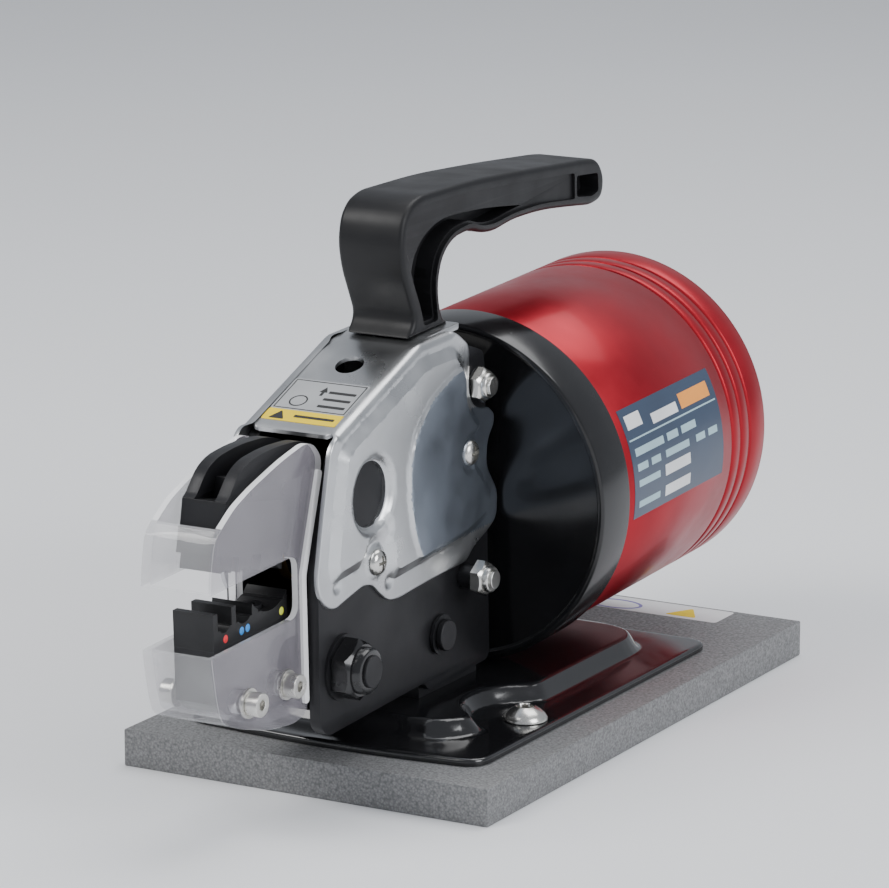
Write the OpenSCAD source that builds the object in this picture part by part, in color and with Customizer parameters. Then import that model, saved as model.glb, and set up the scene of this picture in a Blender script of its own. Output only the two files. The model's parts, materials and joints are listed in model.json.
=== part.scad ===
// Pneumatic bench crimping tool: an air cylinder closes a pivoting upper jaw on a fixed lower die.
// Row frame: origin at the centre of the slab's underside, +Z up, jaws toward -Y, cylinder toward +Y.
// The head and the cylinder are drawn in a frame of their own, with its origin on the cylinder axis
// at the front cap's face, +Y along the axis to the rear, and they lean nose-down by tilt.

/* [Bench slab] */
// Width of the steel slab that the tool stands on
slab_w = 130; // [115:1:170]
// Length of the slab, front to rear
slab_l = 220; // [190:1:280]
// Thickness of the slab
slab_t = 12; // [10:1:20]

/* [Base plate] */
// Width of the pressed base plate
base_w = 106; // [104:1:114]
// Length of the base plate at its sides
base_l = 158.5; // [150:0.5:170]
// How far the base plate's corners stand back from the slab's front edge
base_setback = 16.5; // [14:0.5:20]
// How far the base plate's front edge bows forward at its middle
base_bow = 3.5; // [2:0.5:5]
// Sheet thickness of the base plate
base_t = 1.5; // [1:0.25:2.5]
// Height of the pads between the slab and the base plate
base_gap = 1; // [0.8:0.1:2]
// Height of the raised middle of the base plate
emboss_h = 5.5; // [4.5:0.5:8]
// Width of the raised middle
emboss_w = 81; // [76:1:86]
// Radius of the pocket left flat around each base screw
pocket_r = 16; // [13:0.5:17]
// Half the distance between the two base screws
base_screw_x = 43.5; // [42:0.5:45]
// Distance of the base screws behind the base plate's side corners
base_screw_back = 47; // [40:1:60]

/* [Tool position] */
// Nose-down lean of head and cylinder
tilt = 2; // [0:0.25:3]
// Distance of the front cap's face behind the slab's front edge
head_setback = 92; // [86:1:100]
// Clearance between the front cap and the raised middle of the base plate
cap_clear = 0.5; // [0.4:0.1:3]

/* [Cylinder] */
// Bore of the cylinder tube
bore_d = 100; // [90:1:125]
// Wall of the cylinder tube
tube_wall = 4.7; // [3.5:0.1:6]
// Length of the cylinder tube
tube_l = 101.7; // [98:0.1:125]
// How far the front cap stands out past the tube all round
cap_lip = 1.3; // [0.5:0.1:3]
// Thickness of the front cap
cap_t = 18; // [14:0.5:20]
// Pitch of the three grooves near the tube's rear end
groove_pitch = 6.5; // [5:0.5:8]
// Distance of the last groove from the tube's rear end
groove_end = 12; // [9:0.5:15]
// Thickness of the piston
piston_t = 18; // [14:0.5:20]
// Diameter of the piston rod
rod_d = 16; // [14:0.5:18]

/* [Head] */
// Clear distance between the two side plates
plate_gap = 24.6; // [24:0.1:30]
// Thickness of each side plate
plate_t = 3.8; // [3:0.1:5]
// Sheet thickness of the silver covers
cover_t = 1.2; // [0.8:0.1:1.5]
// Height of the pressed pan of a side cover above its rim
pan_h = 2; // [1.5:0.1:3]
// Width of the top cover
top_w = 29.4; // [28:0.1:31]
// Diameter of the sight hole in each side cover
sight_d = 20.6; // [18:0.2:22]

/* [Jaws] */
// Distance of the jaw pivot in front of the cap's face
pivot_back = 77; // [76:0.5:81]
// Depth of the jaw pivot below the cylinder axis
pivot_low = 0.7; // [0:0.1:1.5]
// Diameter of the jaw pivot pin
pivot_d = 10; // [8:0.5:11]
// Swing of the upper jaw from open to closed
jaw_angle = 12.5; // [10:0.5:13.5]
// Travel of the piston that closes the jaw
stroke = 28; // [23:0.5:28]
// Width of both dies
die_w = 14; // [10:1:15]
// Thickness of each upper jaw plate
jaw_t = 4; // [3:0.25:4.25]
// Gap between the two upper jaw plates
jaw_gap = 7; // [6:0.25:8]
// Radius of the cam roller
roller_r = 8; // [7:0.25:9]
// Running clearance of the dies when closed
die_clear = 0.7; // [0.4:0.1:1.2]

/* [Guard and handle] */
// Outer width of the clear guard
guard_w = 24; // [23:0.1:24.4]
// Wall of the clear guard
guard_t = 2; // [1.5:0.1:2.4]
// Width of the handle
handle_w = 23; // [18:0.5:24]
// Depth of the recess in each side of the handle
handle_recess = 5.5; // [3:0.5:7]
// Outside diameter of the air tube that the inlet takes
air_tube_d = 8; // [6:1:10]

/* [Hidden] */
$fn = 64;

// Heights and places that follow from the sizes above
deck_z = slab_t + base_gap + base_t;
emboss_z = deck_z + emboss_h;
tube_r = bore_d / 2 + tube_wall;
cap_r = tube_r + cap_lip;
axis_z = emboss_z + cap_clear + cap_r;
tool_y = head_setback - slab_l / 2;
base_y = base_setback - slab_l / 2;
screw_y = base_y + base_screw_back;
half_gap = plate_gap / 2;
plate_x = half_gap + plate_t;
pivot = [-pivot_back, -pivot_low];
// Line 3 in front of the pivot that the head's outlines are measured from
ref_y = pivot[0] - 3;
fit = 0.05;
slip = 0.15;

// Positions of pins and studs, as [along the axis, above the axis]
frame_bolt_at = [ref_y - 16, -29];
rear_pin_at = [-36, -35.3];
low_stud_at = [-20.5, -20.2];
high_stud_at = [-10, 39.6];
guard_screws_at = [[ref_y - 63, -27.4], [ref_y - 41.5, -27.8]];
cover_screws_at = [pivot, [-18.4, 19.6]];
handle_screws_at = [-35, -27.2];
handle_screw_r = 2;
dowels_at = [[-36, -47.6], [-12, -47.6]];
mount_screws_at = [-34, -14];

// Piston, rod and rear cap, as distances along the axis
spigot_end = cap_t + 8;
tube_end = cap_t + tube_l;
rear_cap_t = 10;
rear_cap_y = tube_end - 13.7;
piston_nut_h = 6;
piston_y = rear_cap_y - 8 - piston_t;
rod_r = rod_d / 2;
rod_front = -14;
rod_rear = piston_y + piston_t + piston_nut_h + 1;

// Lower die and upper die, drawn closed
die_top = 1.5;
die_floor = -4;
die_seat = -9.7;
die_front = ref_y - 73;
die_rear = ref_y - 31.6;
nests = [[ref_y - 70.6, ref_y - 62.9], [ref_y - 60.4, ref_y - 51.6], [ref_y - 48, ref_y - 34]];
holder_low = 10;
upper_seat = 4;
holder_high = 18.2;
rivets_at = [[ref_y - 56, holder_high + 3.5], [ref_y - 38, holder_high + 3.5]];
track_z = -11.3;

// Cam: the roller centre at rest, seen from the pivot
roller_rest = [37, 12.7];
roller_arm = norm(roller_rest);
roller_lead = atan2(roller_rest[1], roller_rest[0]);
cam_gap = 0.15;

// A point of the upper jaw turned by an angle about the pivot
function turned(p, a) =
  let (d = p - pivot) pivot + [d[0] * cos(a) - d[1] * sin(a), d[0] * sin(a) + d[1] * cos(a)];
// Roller centre seen from the moving blade after a share f of the stroke
function roller_at(f) =
  pivot + roller_arm * [cos(roller_lead + f * jaw_angle), sin(roller_lead + f * jaw_angle)]
  + [f * stroke, 0];
// Cam point under the roller, one roller radius away along the path's normal
function cam_at(f) =
  let (a = roller_at(f - 0.01), b = roller_at(f + 0.01), d = (b - a) / norm(b - a))
  roller_at(f) + (roller_r + cam_gap) * [d[1], -d[0]];
// Points of an arc about c
function around(angle) = [cos(angle), sin(angle)];
function arc(c, r, a0, a1, n) = [for (i = [0:n]) c + r * around(a0 + (a1 - a0) * i / n)];

// Places its children in the leaning frame of head and cylinder
module tool() {
  translate([0, tool_y, axis_z]) rotate([tilt, 0, 0]) children();
}
// Stands a side-view outline up and gives it a thickness along X
module slice(x, t) {
  translate([x, 0, 0]) rotate([90, 0, 90]) linear_extrude(t) children();
}
// Round bar along X
module bar_x(at, r, x0, x1) {
  translate([x0, at[0], at[1]]) rotate([0, 90, 0]) cylinder(r = r, h = x1 - x0);
}
// Round bar along the cylinder axis
module bar_y(r, y0, y1) {
  translate([0, y0, 0]) rotate([-90, 0, 0]) cylinder(r = r, h = y1 - y0);
}
// Ring of a right-angled section about the cylinder axis
module ring_y(r0, r1, y0, y1) {
  difference() {
    bar_y(r1, y0, y1);
    bar_y(r0, y0 - 1, y1 + 1);
  }
}
// Seal ring of a round section about the cylinder axis
module seal_y(r, section, y) {
  translate([0, y, 0]) rotate([-90, 0, 0]) rotate_extrude() translate([r, 0]) circle(section);
}
module both_sides() {
  for (side = [0, 1]) mirror([side, 0, 0]) children();
}
// Rectangle with round corners; its front edge can bow forward at the middle
module rounded_rect(w, l, r, bow) {
  x = w / 2 - r;
  polygon(concat(
    arc([x, l - r], r, 0, 90, 6), arc([-x, l - r], r, 90, 180, 6), arc([-x, r], r, 180, 264, 6),
    [for (i = [1:11]) let (f = i / 6 - 1) [x * f, -bow * (1 - f * f)]], arc([x, r], r, 276, 360, 6)
  ));
}
// Domed head with a hexagon socket, on z = 0
module button_head(r, h, socket) {
  ball = (r * r + h * h) / (2 * h);
  difference() {
    intersection() {
      translate([0, 0, h - ball]) sphere(ball);
      translate([-r, -r, 0]) cube([2 * r, 2 * r, h]);
    }
    translate([0, 0, h * 0.4]) cylinder(r = socket / sqrt(3), h = h, $fn = 6);
  }
}
// Cheese head with a hexagon socket, on z = 0
module socket_head(r, h, socket) {
  difference() {
    cylinder(r = r, h = h);
    translate([0, 0, h * 0.45]) cylinder(r = socket / sqrt(3), h = h, $fn = 6);
  }
}
// Low round head with a cross recess, on z = 0
module cross_head(r, h) {
  difference() {
    button_blank(r, h);
    for (turn = [0, 90]) rotate(turn)
      translate([-r * 0.55, -r * 0.11, h * 0.45]) cube([r * 1.1, r * 0.22, h]);
  }
}
module button_blank(r, h) {
  ball = (r * r + h * h) / (2 * h);
  intersection() {
    translate([0, 0, h - ball]) sphere(ball);
    translate([-r, -r, 0]) cube([2 * r, 2 * r, h]);
  }
}
// Lock nut with a round collar, bored through, on z = 0
module lock_nut(flats, h, bore) {
  difference() {
    union() {
      cylinder(r = flats / sqrt(3), h = h * 0.7, $fn = 6);
      cylinder(r = flats * 0.46, h = h);
    }
    translate([0, 0, -1]) cylinder(r = bore, h = h + 2);
  }
}
// Turns +Z to +X for parts that go on from the right side
module out_x(at, x) {
  translate([x, at[0], at[1]]) rotate([0, 90, 0]) children();
}

// Slab and base
module bench_slab() {
  color("dimgray") difference() {
    translate([-slab_w / 2, -slab_l / 2, 0]) cube([slab_w, slab_l, slab_t]);
    for (x = [-base_screw_x, base_screw_x])
      translate([x, screw_y, slab_t - 9]) cylinder(r = 4 + fit, h = 10);
  }
}
module base_outline() {
  translate([0, base_y]) rounded_rect(base_w, base_l, 8, base_bow);
}
// Outline of the raised middle, drawn smaller all round by inset
module emboss_outline(inset) {
  foot = 11;
  difference() {
    translate([0, base_y + foot + inset]) rounded_rect(
      emboss_w - 2 * inset, base_l - 2 * foot - 2 * inset, 14 - inset, 0
    );
    for (x = [-base_screw_x, base_screw_x]) translate([x, screw_y]) circle(pocket_r + inset);
  }
}
module base_plate() {
  color("black") difference() {
    union() {
      translate([0, 0, slab_t + base_gap]) linear_extrude(base_t) base_outline();
      translate([0, 0, slab_t + base_gap]) linear_extrude(base_t + emboss_h) emboss_outline(0);
    }
    translate([0, 0, slab_t]) linear_extrude(base_gap + emboss_h) emboss_outline(base_t);
    for (x = [-base_screw_x, base_screw_x]) translate([x, screw_y, slab_t]) cylinder(r = 4.3, h = 10);
    for (y = mount_screws_at) translate([0, tool_y + y, slab_t]) cylinder(r = 3.3, h = 20);
  }
}
module base_pads() {
  pads = [[48, 7], [50.3, base_screw_back + 8], [48, base_l - 10]];
  color("gray") both_sides() {
    for (p = pads)
      translate([p[0] + (base_w - 106) / 2 - 1, base_y + p[1], slab_t]) cylinder(r = 3, h = base_gap);
    difference() {
      translate([base_screw_x, screw_y, slab_t]) cylinder(r = 8, h = base_gap);
      translate([base_screw_x, screw_y, slab_t - 1]) cylinder(r = 4.3, h = base_gap + 2);
    }
  }
}
module base_screws() {
  color("silver") both_sides() translate([base_screw_x, screw_y, deck_z]) {
    button_head(7, 4.4, 5);
    translate([0, 0, -base_gap - base_t - 8]) cylinder(r = 4, h = base_gap + base_t + 8);
  }
}

// Frame of the head
block_top = -44;
// Bottom line of the side plates: raised in front, lower where they stand on the block
plate_low = -(cap_r - 7.5);
foot_low = -(cap_r - 4);
module plate_outline() {
  polygon([
    [ref_y - 29, plate_low + 4], [ref_y - 25, plate_low], [-46, plate_low],
    [-43, foot_low], [-6, foot_low],
    [-4, foot_low + 2], [-4, 43], [-5, 49.5], [-14, 53], [-19.5, 54], [-27, 57.6], [-45, 57.6],
    [ref_y - 13, 41], [ref_y - 17.5, 35], [ref_y - 28.5, 3]
  ]);
}
module side_plate() {
  color("#1c1c1e") difference() {
    slice(half_gap, plate_t) plate_outline();
    bar_x(frame_bolt_at, 5 + fit, 0, 30);
    bar_x(rear_pin_at, 5 + fit, 0, 30);
    bar_x(pivot, pivot_d / 2 + fit, 0, 30);
    bar_x(low_stud_at, 3 + slip, 0, 30);
    bar_x(high_stud_at, 3 + slip, 0, 30);
    for (at = cover_screws_at) bar_x(at, 1.6, 0, 30);
    for (at = dowels_at) bar_x(at, 2.5 + fit, 0, half_gap + 2.2);
    for (y = handle_screws_at) bar_x([y, 53], 2 + slip, 0, half_gap + 2.2);
  }
}
module side_plate_right() {
  tool() side_plate();
}
module side_plate_left() {
  tool() mirror([1, 0, 0]) side_plate();
}
// Foot that joins the leaning side plates to the level base plate
module mount_block() {
  color("#26272a") difference() {
    intersection() {
      tool() slice(-half_gap, plate_gap) translate([-43, -cap_r - 20]) square([37, block_top + cap_r + 20]);
      translate([-40, tool_y - 60, emboss_z]) cube([80, 80, 60]);
    }
    tool() for (at = dowels_at) bar_x(at, 2.5 + fit, -20, 20);
    for (y = mount_screws_at) translate([0, tool_y + y, emboss_z - 5]) cylinder(r = 3 + fit, h = 11);
  }
}
module mount_screws() {
  color("dimgray") for (y = mount_screws_at) translate([0, tool_y + y, emboss_z - base_t]) {
    translate([0, 0, -4]) cylinder(r = 10 / sqrt(3), h = 4, $fn = 6);
    cylinder(r = 3, h = base_t + 5);
  }
}
module block_dowels() {
  color("dimgray") tool() for (at = dowels_at) bar_x(at, 2.5, -half_gap - 2, half_gap + 2);
}
module frame_bolt() {
  color("#2a2a2c") tool() {
    bar_x(frame_bolt_at, 5, -plate_x - 1, plate_x + 11.5);
    mirror([1, 0, 0]) out_x(frame_bolt_at, plate_x + 1) cylinder(r = 17 / sqrt(3), h = 6.4, $fn = 6);
  }
}
module frame_nut() {
  color("#2a2a2c") tool() out_x(frame_bolt_at, plate_x + 1) lock_nut(17, 9.5, 5 + fit);
}
module frame_washers() {
  color("#303032") tool() both_sides() difference() {
    bar_x(frame_bolt_at, 10.2, plate_x, plate_x + 1);
    bar_x(frame_bolt_at, 5 + fit, plate_x - 1, plate_x + 2);
  }
}
module rear_pin() {
  color("#2a2a2c") tool() difference() {
    bar_x(rear_pin_at, 5, -plate_x - 3.6, plate_x + 3.6);
    both_sides() difference() {
      bar_x(rear_pin_at, 6, plate_x + 0.2, plate_x + 1.4);
      bar_x(rear_pin_at, 4, plate_x - 1, plate_x + 2);
    }
  }
}
module rear_pin_clips() {
  color("#38383a") tool() both_sides() difference() {
    bar_x(rear_pin_at, 6.4, plate_x + 0.3, plate_x + 1.3);
    bar_x(rear_pin_at, 4 + fit, plate_x - 1, plate_x + 2);
    slice(plate_x, 3) translate([rear_pin_at[0] - 2.6, rear_pin_at[1] - 10]) square([5.2, 10]);
  }
}

// Cylinder
module cap_lug(at, front) {
  difference() {
    slice(-half_gap + slip, plate_gap - 2 * slip) translate([front, at[1] - 6.5]) square([3 - front, 13]);
    bar_x(at, 3 + slip, -20, 20);
  }
}
module front_cap() {
  color("#101012") tool() difference() {
    union() {
      bar_y(cap_r, 0, cap_t);
      bar_y(bore_d / 2 - slip, cap_t - 1, spigot_end);
      cap_lug(low_stud_at, -27.5);
      cap_lug(high_stud_at, -19);
    }
    difference() {
      bar_y(cap_r - 2.6, -40, 2);
      slice(-half_gap + slip, plate_gap - 2 * slip) {
        translate([-27.5, low_stud_at[1] - 6.5]) square([30, 13]);
        translate([-19, high_stud_at[1] - 6.5]) square([22, 13]);
      }
    }
    ring_y(cap_r - 5.4, cap_r - 4.6, 1, 2.8);
    bar_y(rod_r + 2, 1, spigot_end + 1);
    ring_y(bore_d / 2 - 2.2, bore_d / 2 + 1, cap_t + 2.6, cap_t + 5.6);
  }
}
module front_cap_seal() {
  color("black") tool() seal_y(bore_d / 2 - 1.1, 1.02, cap_t + 4.1);
}
module rod_bush() {
  color("goldenrod") tool() ring_y(rod_r + fit, rod_r + 2 - 0.02, 2.2, spigot_end - 6);
}
module rod_seal() {
  color("black") tool() ring_y(rod_r + 0.08, rod_r + 2 - 0.05, spigot_end - 5.8, spigot_end - 1);
}
module cylinder_tube() {
  ring_seat = rear_cap_y + rear_cap_t;
  color("firebrick") tool() difference() {
    ring_y(bore_d / 2, tube_r, cap_t, tube_end);
    for (i = [0:2]) {
      y = tube_end - groove_end - i * groove_pitch;
      ring_y(tube_r - 0.9, tube_r + 1, y - 0.7, y + 0.7);
    }
    ring_y(bore_d / 2 - 1, bore_d / 2 + 1.3, ring_seat, ring_seat + 1.7);
  }
}
module rear_cap() {
  color("#2b2c30") tool() difference() {
    bar_y(bore_d / 2 - slip, rear_cap_y, rear_cap_y + rear_cap_t);
    bar_y(12, rear_cap_y - 1, rear_cap_y + 2);
    bar_y(6.5 + fit, rear_cap_y - 1, rear_cap_y + rear_cap_t + 1);
    ring_y(bore_d / 2 - 2.2, bore_d / 2 + 1, rear_cap_y + 3, rear_cap_y + 6);
    ring_y(24, 40, rear_cap_y + rear_cap_t - 1.5, rear_cap_y + rear_cap_t + 1);
  }
}
module rear_cap_seal() {
  color("black") tool() seal_y(bore_d / 2 - 1.1, 1.02, rear_cap_y + 4.5);
}
module retaining_ring() {
  y = rear_cap_y + rear_cap_t;
  color("dimgray") tool() difference() {
    ring_y(bore_d / 2 - 4, bore_d / 2 + 1.1, y + 0.1, y + 1.6);
    translate([-6, y - 1, -bore_d]) cube([12, 4, bore_d]);
  }
}
// One turn-by-turn sweep of a round wire about the cylinder axis
module return_spring() {
  wire = 2;
  coil_r = 26;
  turns = 4.5;
  steps = 54;
  sides = 8;
  y0 = spigot_end + wire + 0.1;
  y1 = piston_y - wire - 0.1;
  function at(i) =
    let (a = 360 * turns * i / steps, s = i / steps)
    [for (k = [0:sides - 1])
      let (r = coil_r + wire * cos(360 * k / sides))
      [r * cos(a), y0 + (y1 - y0) * s + wire * sin(360 * k / sides), r * sin(a)]];
  points = [for (i = [0:steps]) each at(i)];
  walls = [for (i = [0:steps - 1], k = [0:sides - 1])
    let (n = (k + 1) % sides, a = i * sides, b = (i + 1) * sides)
    each [[a + k, b + k, b + n], [a + k, b + n, a + n]]];
  first = [for (k = [1:sides - 2]) [0, k, k + 1]];
  last = [for (k = [1:sides - 2]) [steps * sides, steps * sides + k + 1, steps * sides + k]];
  color("silver") tool() polyhedron(points, concat(walls, first, last));
}
fitting_y = rear_cap_y + rear_cap_t;
fitting_end = fitting_y + 16;
module air_fitting() {
  tube_hole = air_tube_d / 2 + 0.1;
  color("silver") tool() difference() {
    union() {
      bar_y(6.5, rear_cap_y + 2.2, fitting_y + 1);
      translate([0, fitting_y, 0]) rotate([-90, 0, 0]) cylinder(r = 16 / sqrt(3), h = 5, $fn = 6);
      bar_y(tube_hole + 3.4, fitting_y + 4, fitting_end);
    }
    bar_y(tube_hole - 1.2, rear_cap_y, fitting_end);
    bar_y(tube_hole, fitting_y - 4, fitting_end + 1);
    bar_y(tube_hole + 1, fitting_end - 8, fitting_end + 1);
  }
}
module fitting_collet() {
  tube_hole = air_tube_d / 2 + 0.1;
  color("#1b4fa0") tool() difference() {
    union() {
      bar_y(tube_hole + 1 - fit, fitting_end - 6.6, fitting_end + 1.4);
      bar_y(tube_hole + 2.4, fitting_end + 1.3, fitting_end + 2.8);
    }
    bar_y(tube_hole, fitting_end - 10, fitting_end + 4);
  }
}
module cap_studs() {
  color("silver") tool() {
    bar_x(low_stud_at, 3, -plate_x - 12, plate_x + 12);
    bar_x(high_stud_at, 3, -plate_x - 6.5, plate_x + 6.5);
  }
}
module stud_nuts() {
  color("silver") tool() both_sides() {
    out_x(low_stud_at, plate_x + 5) lock_nut(10, 6, 3 + fit);
    out_x(high_stud_at, plate_x + 0.5) lock_nut(10, 5, 3 + fit);
  }
}
module stud_spacers() {
  color("#46474a") tool() both_sides() {
    difference() {
      bar_x(low_stud_at, 3.9, plate_x, plate_x + 5);
      bar_x(low_stud_at, 3 + fit, plate_x - 1, plate_x + 6);
    }
    difference() {
      bar_x(high_stud_at, 5.4, plate_x, plate_x + 0.5);
      bar_x(high_stud_at, 3 + fit, plate_x - 1, plate_x + 2);
    }
  }
}

// Piston and cam
module piston() {
  color("silver") tool() difference() {
    bar_y(bore_d / 2 - 0.6, piston_y, piston_y + piston_t);
    bar_y(rod_r - 2 + fit, piston_y - 1, piston_y + piston_t + 1);
    ring_y(bore_d / 2 - 4, bore_d / 2 + 1, piston_y + 3, piston_y + 7);
    ring_y(bore_d / 2 - 2, bore_d / 2 + 1, piston_y + 10, piston_y + 15);
  }
}
module piston_seal() {
  color("black") tool() ring_y(bore_d / 2 - 4 + fit, bore_d / 2 - 0.35, piston_y + 3.1, piston_y + 6.9);
}
module wear_ring() {
  color("ivory") tool()
    ring_y(bore_d / 2 - 2 + fit, bore_d / 2 - 0.35, piston_y + 10.1, piston_y + 14.9);
}
module piston_rod() {
  color("silver") tool() difference() {
    union() {
      bar_y(rod_r, rod_front, piston_y);
      bar_y(rod_r - 2, piston_y - 1, rod_rear);
    }
    translate([-jaw_gap / 2 + 0.3, rod_front - 1, -rod_d]) cube([jaw_gap - 0.6, 19, 2 * rod_d]);
    for (y = [rod_front + 5, rod_front + 12]) bar_x([y, 0], 2 + fit, -20, 20);
  }
}
module piston_nut() {
  y = piston_y + piston_t;
  color("dimgray") tool() difference() {
    translate([0, y, 0]) rotate([-90, 0, 0]) cylinder(r = 18 / sqrt(3), h = piston_nut_h, $fn = 6);
    bar_y(rod_r - 2 + fit, y - 1, y + piston_nut_h + 1);
  }
}
// Blade whose top edge turns the jaw evenly with the piston's travel
module cam_blade() {
  low = track_z + 0.1;
  slope = [for (i = [0:14]) cam_at(i / 14)];
  tip = slope[0];
  heel = slope[14];
  color("#8f9194") tool() difference() {
    slice(-jaw_gap / 2 + 0.35, jaw_gap - 0.7) polygon(concat(
      [[tip[0], low]], slope,
      [[heel[0] + 1.5, heel[1]], [heel[0] + 1.5, rod_r - 2.5], [rod_front + 16, rod_r - 2.5],
       [rod_front + 16, -rod_r + 2.5], [rod_front - 0.4, -rod_r + 2.5], [rod_front - 0.4, low]]
    ));
    for (y = [rod_front + 5, rod_front + 12]) bar_x([y, 0], 2 + fit, -20, 20);
  }
}
module blade_pins() {
  reach = sqrt(rod_r * rod_r - 4) - 0.2;
  color("dimgray") tool() for (y = [rod_front + 5, rod_front + 12]) bar_x([y, 0], 2, -reach, reach);
}

// Lower jaw
die_screw_y = ref_y - 41;
module lower_jaw() {
  color("#3a3b3f") tool() difference() {
    slice(-die_w / 2, die_w) polygon([
      [die_front, die_seat], [die_rear, die_seat], [die_rear + 3, die_seat], [ref_y - 18, track_z],
      [-29, track_z], [-29, -43], [ref_y - 20, -43], [ref_y - 27, -38], [ref_y - 29, -36.6],
      [ref_y - 51, -35.2],
      [ref_y - 67.5, -30.4], [die_front, -26]
    ]);
    bar_x(frame_bolt_at, 5 + fit, -20, 20);
    bar_x(rear_pin_at, 5 + fit, -20, 20);
    for (at = guard_screws_at) bar_x(at, 2 + fit, -20, 20);
    translate([0, die_screw_y, die_seat - 9]) cylinder(r = 2 + fit, h = 20);
  }
}
module lower_die() {
  color("#17181a") tool() difference() {
    slice(-die_w / 2, die_w) difference() {
      translate([die_front, die_seat]) square([die_rear - die_front, die_top - die_seat]);
      for (n = nests) translate([n[0], die_floor]) square([n[1] - n[0], 20]);
    }
    for (n = nests) {
      half = (n[1] - n[0]) / 2 - 1.2;
      groove_r = (half * half + 1.3 * 1.3) / 2.6;
      bar_x([(n[0] + n[1]) / 2, die_floor + groove_r - 1.3], groove_r, -20, 20);
    }
    translate([0, die_screw_y, die_seat - 1]) cylinder(r = 2 + fit, h = 20);
    translate([0, die_screw_y, die_floor - 2.6]) cylinder(r = 3.7, h = 20);
  }
}
module lower_die_screw() {
  color("dimgray") tool() translate([0, die_screw_y, die_floor - 2.6]) {
    socket_head(3.5, 2.4, 2.5);
    translate([0, 0, -9]) cylinder(r = 2, h = 9);
  }
}

// Upper jaw, drawn closed and then turned open about the pivot
module opened() {
  translate([0, pivot[0], pivot[1]]) rotate([-jaw_angle, 0, 0])
    translate([0, -pivot[0], -pivot[1]]) children();
}
module jaw_outline() {
  seat_front = turned([ref_y - 71, holder_high], -jaw_angle);
  seat_rear = turned([ref_y - 28, holder_high], -jaw_angle);
  roller = pivot + roller_rest;
  polygon([
    seat_front, seat_front + [1.7, 0.8], seat_front + [7.8, 7], seat_front + [14, 9.4],
    seat_front + [26, 10.2], [ref_y - 24, 42.8], [ref_y - 14, 39.5], [ref_y - 4, 32], [ref_y + 14, 25],
    [ref_y + 34, 21], roller + [3, 4], roller + [3.5, -3], roller + [-3, -4], pivot + [5, -8],
    pivot + [-3, -8], pivot + [-8, -3], [ref_y - 17, 17], seat_rear
  ]);
}
module jaw_plate() {
  color("#1d1e21") difference() {
    union() {
      slice(jaw_gap / 2, jaw_t) jaw_outline();
      bar_x(pivot, 10, jaw_gap / 2, jaw_gap / 2 + jaw_t);
      bar_x(pivot + roller_rest, 6, jaw_gap / 2, jaw_gap / 2 + jaw_t);
    }
    bar_x(pivot, pivot_d / 2 + fit, 0, 30);
    bar_x(pivot + roller_rest, 3 + fit, 0, 30);
    for (at = rivets_at) bar_x(turned(at, -jaw_angle), 2 + fit, 0, 30);
  }
}
module jaw_plate_right() {
  tool() jaw_plate();
}
module jaw_plate_left() {
  tool() mirror([1, 0, 0]) jaw_plate();
}
module die_holder() {
  reach = jaw_gap / 2 + jaw_t;
  color("#2b2c2f") tool() opened() difference() {
    union() {
      slice(-reach, 2 * reach) translate([ref_y - 71, holder_low])
        square([43, holder_high - holder_low]);
      slice(-jaw_gap / 2 + fit, jaw_gap - 2 * fit) translate([ref_y - 60, holder_low + 2])
        square([27, holder_high - holder_low + 4.5]);
    }
    for (at = rivets_at) bar_x(at, 2 + fit, -20, 20);
    translate([0, die_screw_y, holder_low - 1]) cylinder(r = 2 + fit, h = 9);
  }
}
module holder_rivets() {
  reach = jaw_gap / 2 + jaw_t;
  color("#38393c") tool() opened()
    for (at = rivets_at) bar_x(at, 2, -reach - 0.6, reach + 0.6);
}
module upper_die() {
  low = die_top + die_clear;
  tip = die_floor + 1.4;
  color("#17181a") tool() opened() difference() {
    slice(-die_w / 2, die_w) {
      translate([die_front + 0.4, low]) square([die_rear - die_front - 0.8, holder_low - low]);
      for (n = nests)
        translate([n[0] + die_clear, tip]) square([n[1] - n[0] - 2 * die_clear, low - tip + 1]);
    }
    for (n = nests) {
      half = (n[1] - n[0]) / 2 - 1.6;
      groove_r = (half * half + 1.2 * 1.2) / 2.4;
      bar_x([(n[0] + n[1]) / 2, tip - groove_r + 1.2], groove_r, -20, 20);
    }
    translate([0, die_screw_y, -20]) cylinder(r = 2 + fit, h = 40);
    translate([0, die_screw_y, -20]) cylinder(r = 3.7, h = 20 + upper_seat);
  }
}
module upper_die_screw() {
  color("dimgray") tool() opened() translate([0, die_screw_y, upper_seat]) mirror([0, 0, 1]) {
    socket_head(3.5, 2.4, 2.5);
    translate([0, 0, -12]) cylinder(r = 2, h = 12);
  }
}
module roller_pin() {
  reach = jaw_gap / 2 + jaw_t;
  color("silver") tool() bar_x(pivot + roller_rest, 3, -reach, reach);
}
module cam_roller() {
  color("lightgray") tool() difference() {
    bar_x(pivot + roller_rest, roller_r, -jaw_gap / 2 + 0.3, jaw_gap / 2 - 0.3);
    bar_x(pivot + roller_rest, 3 + fit, -10, 10);
  }
}
module jaw_pivot_pin() {
  color("silver") tool() difference() {
    bar_x(pivot, pivot_d / 2, -plate_x, plate_x);
    both_sides() bar_x(pivot, 1.6, half_gap, plate_x + 1);
  }
}
module pivot_washers() {
  reach = jaw_gap / 2 + jaw_t;
  color("goldenrod") tool() both_sides() difference() {
    bar_x(pivot, 9, reach + 0.15, half_gap - 0.1);
    bar_x(pivot, pivot_d / 2 + fit, 0, 30);
  }
}

// Covers
top_z = 60.8;
top_front = [ref_y - 14.8, 43.1];
top_bend = [-46, top_z - 0.2];
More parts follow.
